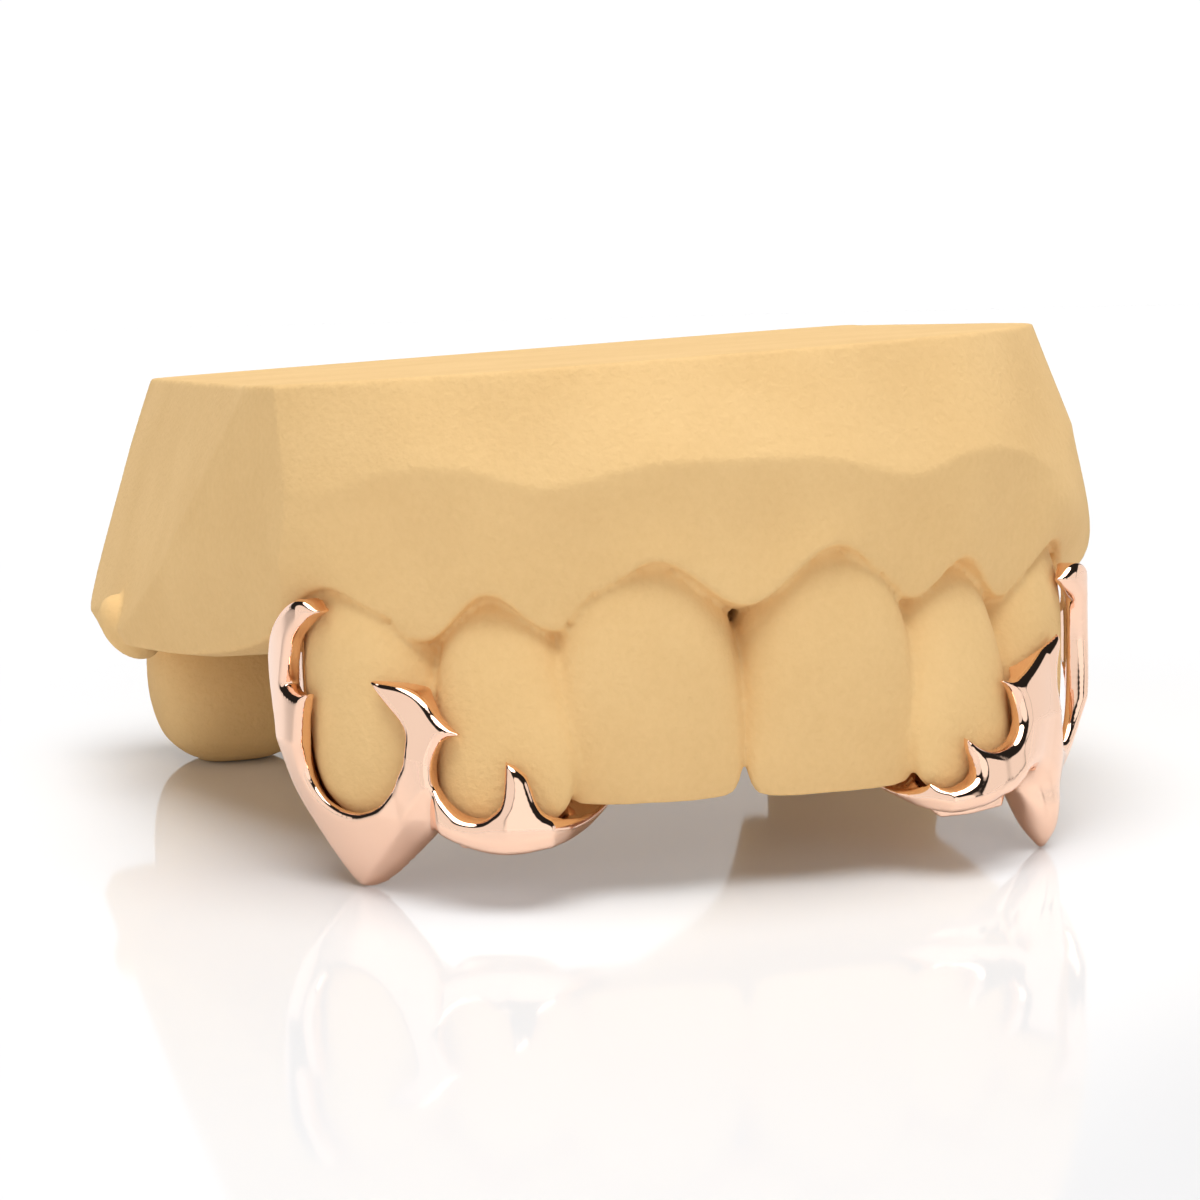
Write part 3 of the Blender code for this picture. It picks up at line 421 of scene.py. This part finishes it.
def crown(tooth, grow=0.0):
    """One tooth, finely sectioned, made larger all round by grow."""
    name, kind, x, y, turn, width, depth, edge, neck, lean, slant = tooth
    x, y, edge = in_mm((x, y, edge))
    width, depth, neck = in_mm((width, depth, neck))
    turn = math.radians(turn)
    out = np.array((-math.sin(turn), -math.cos(turn)))
    side = np.array((math.cos(turn), -math.sin(turn)))
    rows = []
    for share, wide, deep, back in CROWNS[kind]:
        z = edge + share * (neck - edge)
        tuck = NECK_TUCK * max(0.0, share - NECK_SHARE) if kind != "molar" else 0.0
        rows.append((z, width * wide / 2 + grow, depth * deep / 2 + grow, depth * back + tuck))
    floor = rows[0][0] - EDGE_ROUND - min(grow, FIT_GAP + CUP_FLOOR)
    _, half_w, half_d, back = rows[0]
    half_w, half_d = half_w * CROWN_UNDERSIDE, half_d * CROWN_UNDERSIDE
    rows.insert(0, (floor, half_w, half_d, back + grow * UNDERSIDE_BACK))
    power = MOLAR_POWER if kind == "molar" else CROWN_POWER
    angle = 2 * math.pi * np.arange(CROWN_POINTS) / CROWN_POINTS
    cos, sin = np.cos(angle), np.sin(angle)
    rings = []
    for z, half_w, half_d, back in smooth_levels(rows, CROWN_STEPS):
        tilt = lean * (z if kind == "molar" else max(z - CROWN_MIDDLE_Z, -CROWN_LEAN_STOP))
        middle = back + (half_d - grow) + tilt
        shift = math.copysign(slant * max(z - CROWN_MIDDLE_Z, 0.0), x)
        u = np.sign(cos) * np.abs(cos) ** power * half_w + shift
        v = np.sign(sin) * np.abs(sin) ** power * half_d + middle
        plan = np.array((x, y)) + np.outer(u, side) - np.outer(v, out)
        rings.append(np.column_stack([plan, np.full(CROWN_POINTS, z)]))
    return loft(name, rings)


def body_ring(index):
    """Right-half rows mirrored into a full fine loop, counter-clockwise from above."""
    half = [in_mm(row[index]) for row in CAST_ROWS]
    shift, rise = TOP_SHIFT[index] * HALF_WIDTH, LEFT_RISE[index] * HEIGHT
    bulge = SIDE_BULGE if 0 < index < 4 else 0.0
    loop = [(x + shift, y, z + rise * min(x / RISE_OVER, 1.0)) for x, y, z in half]
    for x, y, z in reversed(half):
        if x > TINY:
            onset = max(0.0, min(1.0, (y - BULGE_FROM) / BULGE_OVER))
            loop.append((-x + shift - bulge * onset, y, z))
    ring = smooth_loop(loop, BODY_STEPS)
    if index == 0:
        ring[:, 2] = TOP_Z + TOP_TILT_X * ring[:, 0] + TOP_TILT_Y * ring[:, 1]
    return ring


def ridge_crest(foot):
    """Loop inside the foot loop that bounds the ridge's underside."""
    crest = foot.copy()
    crest[:, 0] = foot[:, 0] * RIDGE_CREST
    crest[:, 1] = RIDGE_MIDDLE_Y + (foot[:, 1] - RIDGE_MIDDLE_Y) * RIDGE_CREST
    crest[:, 2] = np.maximum(RIDGE_FRONT_Z - RIDGE_FALL * crest[:, 1], RIDGE_BACK_Z)
    return crest


def cast_body():
    """Trimmed base and gum bulge, without teeth and palate."""
    foot, gum, swell, land, top = (body_ring(index) for index in (4, 3, 2, 1, 0))
    foot[:, 2] += GUM_LIP * (gum[:, 2] - foot[:, 2])
    rings = [ridge_crest(foot), foot] + smooth_levels([gum, swell, land], BODY_STEPS)
    rings += [land + (top - land) * share for share in BASE_SHARES]
    return loft("cast_body", rings)


def palate_hollow():
    rings = []
    for index in range(len(PALATE_ROWS[0])):
        half = [in_mm(row[index]) for row in PALATE_ROWS]
        loop = half + [(-x, y, z) for x, y, z in reversed(half) if x > TINY]
        rings.append(smooth_loop(loop, PALATE_POINTS))
    return loft("palate_hollow", smooth_levels(rings, PALATE_STEPS))


def nodule():
    bpy.ops.mesh.primitive_ico_sphere_add(subdivisions=4, radius=1.0)
    ball = bpy.context.object
    turn = Matrix.Rotation(math.radians(NODULE_TURN), 4, "Y")
    size = Matrix.Diagonal((*NODULE_RADII, 1.0))
    ball.data.transform(Matrix.Translation(in_mm(NODULE)) @ turn @ size)
    return ball


def side_cut(point, normal):
    """Large block whose near face lies on a trimming cut."""
    bpy.ops.mesh.primitive_cube_add(size=CUT_BLOCK)
    block = bpy.context.object
    turn = Vector(normal).to_track_quat("Z", "Y").to_matrix().to_4x4()
    away = Matrix.Translation((0, 0, CUT_BLOCK / 2))
    block.data.transform(Matrix.Translation(in_mm(point)) @ turn @ away)
    return block


def combine(target, tool, operation):
    """Boolean that uses the tool up."""
    modifier = target.modifiers.new(tool.name, "BOOLEAN")
    modifier.operation = operation
    modifier.solver = "MANIFOLD"
    modifier.object = tool
    apply_modifiers(target)
    bpy.data.objects.remove(tool, do_unlink=True)


def apply_modifiers(obj):
    evaluated = obj.evaluated_get(bpy.context.evaluated_depsgraph_get())
    mesh = bpy.data.meshes.new_from_object(evaluated)
    obj.modifiers.clear()
    obj.data = mesh


def soften(obj, passes):
    """Smooth modifier, left to be applied."""
    smooth = obj.modifiers.new("soften", "SMOOTH")
    smooth.factor = SMOOTH_FACTOR
    smooth.iterations = passes


def merge(name, parts):
    """One mesh holding all the parts' faces."""
    work = bmesh.new()
    for part in parts:
        work.from_mesh(part.data)
        bpy.data.objects.remove(part, do_unlink=True)
    mesh = bpy.data.meshes.new(name)
    work.to_mesh(mesh)
    work.free()
    obj = bpy.data.objects.new(name, mesh)
    bpy.context.scene.collection.objects.link(obj)
    return obj


def stone_cast():
    """Body, teeth and tab as one softly creased stone surface, in the arch frame."""
    body = cast_body()
    for point, normal in SIDE_CUTS:
        combine(body, side_cut(point, normal), "DIFFERENCE")
    combine(body, palate_hollow(), "DIFFERENCE")
    for tooth in TEETH:
        combine(body, crown(tooth, GUM_GROOVE), "DIFFERENCE")
    cast = merge("stone_tooth_cast", [body, nodule()] + [crown(tooth) for tooth in TEETH])
    remesh = cast.modifiers.new("skin", "REMESH")
    remesh.mode = "VOXEL"
    remesh.voxel_size = CAST_VOXEL
    soften(cast, CAST_SMOOTHING)
    apply_modifiers(cast)
    triangles = sum(len(p.vertices) - 2 for p in cast.data.polygons)
    thin = cast.modifiers.new("thin", "DECIMATE")
    thin.ratio = min(1.0, CAST_TRIANGLES / triangles)
    apply_modifiers(cast)
    return cast


class Grid:
    """Grid of points round one cap, in the arch frame, for distances to each surface."""

    def __init__(self, side):
        x_room = CAP_X if side > 0 else (-CAP_X[1], -CAP_X[0])
        self.low, self.high = ([round(room[end] / CAP_VOXEL) for room in (x_room, CAP_Y, CAP_Z)]
                               for end in (0, 1))
        self.shape = tuple(b - a for a, b in zip(self.low, self.high))
        self.axes = [(np.arange(a, b) * CAP_VOXEL).astype(np.float32)
                     for a, b in zip(self.low, self.high)]

    def distance(self, obj, band):
        """Signed distance to an object's surface, negative inside, up to band in mm."""
        mesh = obj.data
        points = np.empty(len(mesh.vertices) * 3, np.float32)
        mesh.vertices.foreach_get("co", points)
        mesh.calc_loop_triangles()
        triangles = np.empty(len(mesh.loop_triangles) * 3, np.int32)
        mesh.loop_triangles.foreach_get("vertices", triangles)
        grid = openvdb.FloatGrid.createLevelSetFromPolygons(
            points.reshape(-1, 3), triangles=triangles.reshape(-1, 3).astype(np.uint32),
            transform=openvdb.createLinearTransform(voxelSize=CAP_VOXEL),
            halfWidth=band / CAP_VOXEL)
        values = np.zeros(self.shape, np.float32)
        grid.copyToArray(values, ijk=tuple(self.low))
        return values

    def surface(self, values, name):
        """Object whose surface lies where the values pass zero."""
        grid = openvdb.FloatGrid(OUTSIDE)
        grid.transform = openvdb.createLinearTransform(voxelSize=CAP_VOXEL)
        grid.copyFromArray(np.ascontiguousarray(values), ijk=tuple(self.low))
        points, quads = grid.convertToQuads(0.0)
        return new_object(name, points.tolist(), np.asarray(quads)[:, ::-1].tolist())


def lengths_along(line):
    """Length from a line's start to each of its points."""
    return np.concatenate([[0.0], np.cumsum(np.hypot(*np.diff(line, axis=0).T))])


# the arch line and the length of its run, for the wearer's right (-1) and left (1)
ARCH = {side: np.array([(row[column] * HALF_WIDTH, row[0] * LENGTH) for row in ARCH_LINE])
        for side, column in ((-1, 1), (1, 2))}
ARCH_RUN = {side: float(lengths_along(line)[-1]) for side, line in ARCH.items()}


def arch_map(side):
    """Arch length and inward distance for each point of a plan grid."""
    line = np.array(smooth_levels(ARCH[side], ARCH_STEPS))
    fine = np.concatenate([line[:-1] + (line[1:] - line[:-1]) * t for t in QUARTERS])
    order = np.argsort(np.concatenate([np.arange(len(line) - 1) + t for t in QUARTERS]))
    fine = fine[order]
    ahead = line[-1] - line[-2]
    fine = np.concatenate([fine, [line[-1] + ahead * k for k in range(ARCH_REACH)]])
    length = lengths_along(fine)
    start, step = fine[:-1], np.diff(fine, axis=0)
    size = np.hypot(*step.T)
    xs, ys = (np.arange(low, high, ARCH_PITCH) for low, high in zip(ARCH_LOW, ARCH_HIGH))
    s_map = np.empty((len(xs), len(ys)), np.float32)
    n_map = np.empty((len(xs), len(ys)), np.float32)
    for i, x in enumerate(xs):
        offset = np.stack([np.full(len(ys), x), ys], axis=1)[:, None, :] - start[None]
        t = np.clip((offset * step[None]).sum(2) / size ** 2, 0.0, 1.0)
        gap = offset - t[..., None] * step[None]
        distance = np.hypot(gap[..., 0], gap[..., 1])
        best = distance.argmin(1)
        rows = np.arange(len(ys))
        s_map[i] = length[best] + t[rows, best] * size[best]
        cross = step[best, 0] * gap[rows, best, 1] - step[best, 1] * gap[rows, best, 0]
        n_map[i] = np.sign(cross) * distance[rows, best]
    return xs, ys, s_map, n_map


def sample(table, origin, pitch, u, v):
    """Bilinear reading of a table."""
    a = np.clip((u - origin[0]) / pitch, 0, table.shape[0] - TABLE_END)
    b = np.clip((v - origin[1]) / pitch, 0, table.shape[1] - TABLE_END)
    i, j = a.astype(np.int32), b.astype(np.int32)
    a, b = a - i, b - j
    return (table[i, j] * (1 - a) * (1 - b) + table[i + 1, j] * a * (1 - b)
            + table[i, j + 1] * (1 - a) * b + table[i + 1, j + 1] * a * b)


def plate_coordinates(grid, side):
    """Arch length and depth below the plate's outer face, for each grid point."""
    xs, ys, s_map, n_map = arch_map(side)
    x = (side * grid.axes[0])[:, None, None]
    y = grid.axes[1][None, :, None]
    z = grid.axes[2][None, None, :]
    x, y, z = np.broadcast_arrays(x, y, z)
    origin = (xs[0], ys[0])
    pitch = xs[1] - xs[0]
    s = sample(s_map, origin, pitch, x, y)
    run = ARCH_RUN[side]
    for _ in range(LEAN_PASSES):
        fade = (LEAN_FADE[1] - s / run) / (LEAN_FADE[1] - LEAN_FADE[0])
        fade = np.clip(fade, LEAST_LEAN, 1.0)
        upright = y - LEAN * fade * np.maximum(z - LEAN_Z, 0.0)
        s = sample(s_map, origin, pitch, x, upright)
    n = sample(n_map, origin, pitch, x, upright)
    n = n - np.maximum(0.0, TAIL_START * run - s) * TAIL_TUCK
    onset = (s / run - POINT_LEAN_FROM[0]) / (POINT_LEAN_FROM[1] - POINT_LEAN_FROM[0])
    onset = np.clip(onset, 0.0, 1.0)
    n = n - POINT_LEAN * np.maximum(0.0, POINT_LEAN_Z - z) * onset
    return s, n


def fine_outline(outline, side):
    """Outline rounded between its points, with its tips and notches kept sharp."""
    points = [np.array((s * ARCH_RUN[side], z * HEIGHT)) for s, z in outline]
    count = len(points)
    corner = []
    for i, p in enumerate(points):
        before, after = p - points[i - 1], points[(i + 1) % count] - p
        turn = math.atan2(before[0] * after[1] - before[1] * after[0], before @ after)
        corner.append(abs(turn) > CORNER_TURN)
    result = []
    for i in range(count):
        p1, p2 = points[i], points[(i + 1) % count]
        p0 = 2 * p1 - p2 if corner[i] else points[i - 1]
        p3 = 2 * p2 - p1 if corner[(i + 1) % count] else points[(i + 2) % count]
        for step in range(OUTLINE_STEPS):
            result.append(catmull(p0, p1, p2, p3, step / OUTLINE_STEPS))
    return np.array(result)


def outline_map(outline, side):
    """Distance in from the outline, on a grid of arch length and height."""
    loop = fine_outline(outline, side)
    start, end = loop, np.roll(loop, -1, 0)
    step = end - start
    low, high = loop.min(0) - OUTLINE_MARGIN, loop.max(0) + OUTLINE_MARGIN
    us, vs = (np.arange(low[axis], high[axis], OUTLINE_PITCH) for axis in (0, 1))
    table = np.empty((len(us), len(vs)), np.float32)
    for i, u in enumerate(us):
        point = np.stack([np.full(len(vs), u), vs], axis=1)
        offset = point[:, None, :] - start[None]
        t = np.clip((offset * step[None]).sum(2) / (step ** 2).sum(1), 0.0, 1.0)
        gap = offset - t[..., None] * step[None]
        distance = np.sqrt((gap ** 2).sum(2)).min(1)
        crosses = (start[None, :, 1] > point[:, 1:]) != (end[None, :, 1] > point[:, 1:])
        with np.errstate(divide="ignore", invalid="ignore"):
            share = (point[:, 1:] - start[None, :, 1]) / step[None, :, 1]
            meet = start[None, :, 0] + share * step[None, :, 0]
        within = (crosses & (point[:, :1] < meet)).sum(1) % 2 == 1
        table[i] = np.where(within, distance, -distance)
    return table, (us[0], vs[0])


def blurred(table, passes):
    for _ in range(passes):
        for axis in (0, 1):
            table = (np.roll(table, 1, axis) + 2 * table + np.roll(table, -1, axis)) / 4
    return table


def facet_drop(s, z):
    """How far the face falls beside the right fang's ridge."""
    top, tip = (np.array((a * ARCH_RUN[-1], b * HEIGHT)) for a, b in (RIDGE_TOP, RIDGE_TIP))
    run = tip - top
    beside = (run[1] * (s - top[0]) - run[0] * (z - top[1])) / np.hypot(*run)
    inner = smooth_min(beside, s - FACET_FROM * ARCH_RUN[-1], FACET_CORNER)
    return FACET_SLOPE * smooth_max(inner, np.zeros_like(s), FACET_EDGE)


def plate_field(s, n, z, outline, side):
    """Ornament plate: rounded rim along the outline, tapering back behind a fang point."""
    table, origin = outline_map(outline, side)
    z = np.broadcast_to(z, s.shape)
    back = np.minimum(PLATE_DEPTH, POINT_BACK[0] + POINT_BACK[1] * np.maximum(z, 0.0))
    if side < 0:
        drop = facet_drop(s, z)
        n = n - drop
        back = np.maximum(back - drop, PLATE_EDGE)
    tail = np.clip((TAIL_START * ARCH_RUN[side] - s) / TAIL_BLEND, 0.0, 1.0)
    lift = TAIL_SCOOP * tail * np.clip(n / TAIL_BLEND - TAIL_FACE, 0.0, 1.0)
    d = sample(table, origin, OUTLINE_PITCH, s, z - lift)
    facing = blurred(np.gradient(table, OUTLINE_PITCH, axis=1), FACING_BLUR)
    down_facing = np.clip(0.5 + 0.5 * facing, 0.0, 1.0)
    share = sample(down_facing, origin, OUTLINE_PITCH, s, z)
    point = np.zeros_like(s)
    if side < 0:
        point = (s / ARCH_RUN[side] - POINT_RIM_FROM[0]) / (POINT_RIM_FROM[1] - POINT_RIM_FROM[0])
        point = np.clip(point, 0.0, 1.0)
    rims = []
    for upper, lower, pointed in zip(UPPER_RIM, LOWER_RIM, POINT_RIM):
        lower = lower + (pointed - lower) * point
        rims.append(upper + (lower - upper) * share)
    width, height = rims
    across, down = np.maximum(width - d, 0.0), np.maximum(height - n, 0.0)
    k0 = np.sqrt((across / width) ** 2 + (down / height) ** 2)
    k1 = np.sqrt((across / width ** 2) ** 2 + (down / height ** 2) ** 2)
    rim = k0 * (k0 - 1.0) / np.maximum(k1, TINY)
    rim = np.where((across <= 0) & (down <= 0), -np.minimum(d, n), rim)
    back = back - BACK_RIM * (1.0 - np.clip(d / BACK_RIM, 0.0, 1.0)) ** 2
    return np.maximum(rim, n - np.maximum(back, PLATE_EDGE))


def smooth_min(a, b, k):
    """Lesser of two distances, with a fillet of size k between their surfaces."""
    h = np.maximum(k - np.abs(a - b), 0.0) / k
    return np.minimum(a, b) - h * h * k * 0.25


def smooth_max(a, b, k):
    return -smooth_min(-a, -b, k)


def left_fang():
    """Round point that the left plate grows into."""
    turn = math.radians(LEFT_FANG_TURN)
    angle = 2 * math.pi * np.arange(CROWN_POINTS) / CROWN_POINTS
    rings = []
    for z, x, y, half_l, half_d in smooth_levels(LEFT_FANG[::-1], FANG_STEPS):
        x, y, z = in_mm((x, y, z))
        u, v = half_l * HALF_WIDTH * np.cos(angle), half_d * HALF_WIDTH * np.sin(angle)
        px = x + math.cos(turn) * u - math.sin(turn) * v
        py = y + math.sin(turn) * u + math.cos(turn) * v
        rings.append(np.column_stack([px, py, np.full(CROWN_POINTS, z)]))
    return loft("fang", rings)


def distance_and_drop(grid, obj, band):
    """Signed distance to an object that isn't needed afterwards."""
    values = grid.distance(obj, band)
    bpy.data.objects.remove(obj, do_unlink=True)
    return values


def largest_piece(obj):
    """Drop any crumb that isn't joined to the main surface."""
    work = bmesh.new()
    work.from_mesh(obj.data)
    seen = set()
    groups = []
    for seed in work.verts:
        if seed in seen:
            continue
        group, queue = [], [seed]
        seen.add(seed)
        while queue:
            vert = queue.pop()
            group.append(vert)
            for edge in vert.link_edges:
                other = edge.other_vert(vert)
                if other not in seen:
                    seen.add(other)
                    queue.append(other)
        groups.append(group)
    groups.sort(key=len)
    for group in groups[:-1]:
        bmesh.ops.delete(work, geom=group, context="VERTS")
    work.to_mesh(obj.data)
    work.free()


def fang_cap(name, cast, outline, side):
    """One cap in the arch frame: plate, fang point and cups, with the cast's room cut out."""
    grid = Grid(side)
    z = grid.axes[2][None, None, :]
    s, n = plate_coordinates(grid, side)
    metal = plate_field(s, n, z, outline, side)
    if side > 0:
        fang = distance_and_drop(grid, left_fang(), BLEND_FANG + BLEND_MARGIN)
        metal = smooth_min(metal, fang, BLEND_FANG)
    letter = "l" if side > 0 else "r"
    own = [tooth for tooth in TEETH if tooth[0] in ("lateral_" + letter, "canine_" + letter)]
    cups = [distance_and_drop(grid, crown(tooth, FIT_GAP + CUP_WALL), CUP_BAND) for tooth in own]
    cup = np.maximum(smooth_min(cups[0], cups[1], BLEND_CUP), FRONT_CUT - n)
    cup = smooth_max(cup, np.broadcast_to(z - CUP_TOP_Z, cup.shape), BLEND_CUP)
    metal = smooth_min(metal, cup, BLEND_CUP)
    room = grid.distance(cast, FIT_GAP + ROOM_BAND) - FIT_GAP
    metal = smooth_max(metal, -room, EDGE_BREAK)
    cap = grid.surface(metal, name)
    largest_piece(cap)
    soften(cap, CAP_SMOOTHING)
    apply_modifiers(cap)
    return cap


def settings(node, values):
    for name, value in values.items():
        node.inputs[name].default_value = value


def add_node(tree, kind, values):
    node = tree.nodes.new(kind)
    settings(node, values)
    return node


def new_material(name, surface):
    """Material, its node tree and its shader."""
    mat = bpy.data.materials.new(name)
    mat.use_nodes = True
    shader = mat.node_tree.nodes["Principled BSDF"]
    settings(shader, surface)
    return mat, mat.node_tree, shader


def tint_ramp(tree, tints):
    tint = tree.nodes.new("ShaderNodeValToRGB")
    for element, (position, colour) in zip(tint.color_ramp.elements, tints):
        element.position = position
        element.color = colour
    return tint


def stone_material():
    """Dental stone: two scales of cloud in its tint, the finer one also as bump."""
    mat, tree, shader = new_material("dental_stone", STONE_SURFACE)
    place = tree.nodes.new("ShaderNodeTexCoord")
    grain = add_node(tree, "ShaderNodeTexNoise", STONE_GRAIN)
    cloud = add_node(tree, "ShaderNodeTexNoise", STONE_CLOUD)
    tint = tint_ramp(tree, STONE_TINTS)
    mix = tree.nodes.new("ShaderNodeMix")
    mix.data_type = "FLOAT"
    settings(mix, STONE_MIX)
    bump = add_node(tree, "ShaderNodeBump", STONE_BUMP)
    link = tree.links.new
    link(place.outputs["Object"], grain.inputs["Vector"])
    link(place.outputs["Object"], cloud.inputs["Vector"])
    link(cloud.outputs["Fac"], mix.inputs["A"])
    link(grain.outputs["Fac"], mix.inputs["B"])
    link(mix.outputs["Result"], tint.inputs["Fac"])
    link(tint.outputs["Color"], shader.inputs["Base Color"])
    link(grain.outputs["Fac"], bump.inputs["Height"])
    link(bump.outputs["Normal"], shader.inputs["Normal"])
    return mat


def gold_material():
    """Rose gold with a faint smear in its tint and gloss."""
    mat, tree, shader = new_material("polished_rose_gold", GOLD_SURFACE)
    place = tree.nodes.new("ShaderNodeTexCoord")
    smear = add_node(tree, "ShaderNodeTexNoise", GOLD_SMEAR)
    tint = tint_ramp(tree, GOLD_TINTS)
    gloss = add_node(tree, "ShaderNodeMapRange", GOLD_GLOSS)
    link = tree.links.new
    link(place.outputs["Object"], smear.inputs["Vector"])
    link(smear.outputs["Fac"], tint.inputs["Fac"])
    link(tint.outputs["Color"], shader.inputs["Base Color"])
    link(smear.outputs["Fac"], gloss.inputs["Value"])
    link(gloss.outputs["Result"], shader.inputs["Roughness"])
    return mat


def floor():
    """White floor with a soft gloss, a hair below the object."""
    bpy.ops.mesh.primitive_plane_add(size=FLOOR_SIZE, location=(0, 0, FLOOR_Z))
    plane = bpy.context.object
    plane.name = "floor"
    mat, _, _ = new_material("white_gloss", FLOOR_SURFACE)
    plane.data.materials.append(mat)


def world():
    """Dark studio with white patches, worked out from the direction alone."""
    sky = bpy.data.worlds.new("studio")
    bpy.context.scene.world = sky
    sky.use_nodes = True
    tree = sky.node_tree
    background = tree.nodes["Background"]
    place = tree.nodes.new("ShaderNodeTexCoord")
    total = None
    for direction, radius, feather, strength in STUDIO:
        dot = tree.nodes.new("ShaderNodeVectorMath")
        dot.operation = "DOT_PRODUCT"
        dot.inputs[1].default_value = Vector(direction).normalized()
        tree.links.new(place.outputs["Generated"], dot.inputs[0])
        patch = add_node(tree, "ShaderNodeMapRange", {
            "From Min": math.cos(math.radians(radius + feather)),
            "From Max": math.cos(math.radians(radius)),
            "To Min": 0.0,
            "To Max": strength,
        })
        patch.interpolation_type = "SMOOTHSTEP"
        tree.links.new(dot.outputs["Value"], patch.inputs["Value"])
        add = tree.nodes.new("ShaderNodeMath")
        add.operation = "MAXIMUM"
        add.inputs[0].default_value = STUDIO_DARK
        if total is not None:
            tree.links.new(total, add.inputs[0])
        tree.links.new(patch.outputs["Result"], add.inputs[1])
        total = add.outputs["Value"]
    tree.links.new(total, background.inputs["Color"])
    settings(background, {"Strength": 1.0})


def camera(matrix):
    """Camera at the photograph's viewing angle."""
    yaw, pitch, roll = (math.radians(v) for v in (CAMERA_YAW, CAMERA_PITCH, CAMERA_ROLL))
    level = math.cos(pitch)
    ahead = Vector((math.sin(yaw) * level, math.cos(yaw) * level, -math.sin(pitch)))
    right = Vector((math.cos(yaw), -math.sin(yaw), 0.0))
    up = right.cross(ahead)
    rolled_right = math.cos(roll) * right + math.sin(roll) * up
    rolled_up = math.cos(roll) * up - math.sin(roll) * right
    data = bpy.data.cameras.new("camera")
    data.lens = CAMERA_LENS
    data.sensor_width = CAMERA_SENSOR
    data.clip_start = CAMERA_CLIP
    obj = bpy.data.objects.new("camera", data)
    turn = Matrix((rolled_right, rolled_up, -ahead)).transposed()
    obj.matrix_world = Matrix.Translation(matrix @ Vector(CAMERA_PLACE)) @ turn.to_4x4()
    bpy.context.scene.collection.objects.link(obj)
    bpy.context.scene.camera = obj


def dress(obj, material, node, matrix):
    """Move a piece to the row frame, give it its material and hand it to the frame."""
    obj.data.transform(matrix)
    obj.data.shade_smooth()
    obj.data.materials.clear()
    obj.data.materials.append(material)
    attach(obj, "root")
    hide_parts(node)


def main():
    matrix = to_row_frame()
    camera(matrix)
    world()
    floor()
    stone, gold = stone_material(), gold_material()
    cast = stone_cast()
    right = fang_cap("polished_right_cap", cast, RIGHT_PLATE, -1)
    left = fang_cap("polished_left_cap", cast, LEFT_PLATE, 1)
    dress(cast, stone, "tooth_cast", matrix)
    dress(right, gold, "right_fang_cap", matrix)
    dress(left, gold, "left_fang_cap", matrix)
    bpy.context.scene.view_settings.view_transform = "Standard"


main()
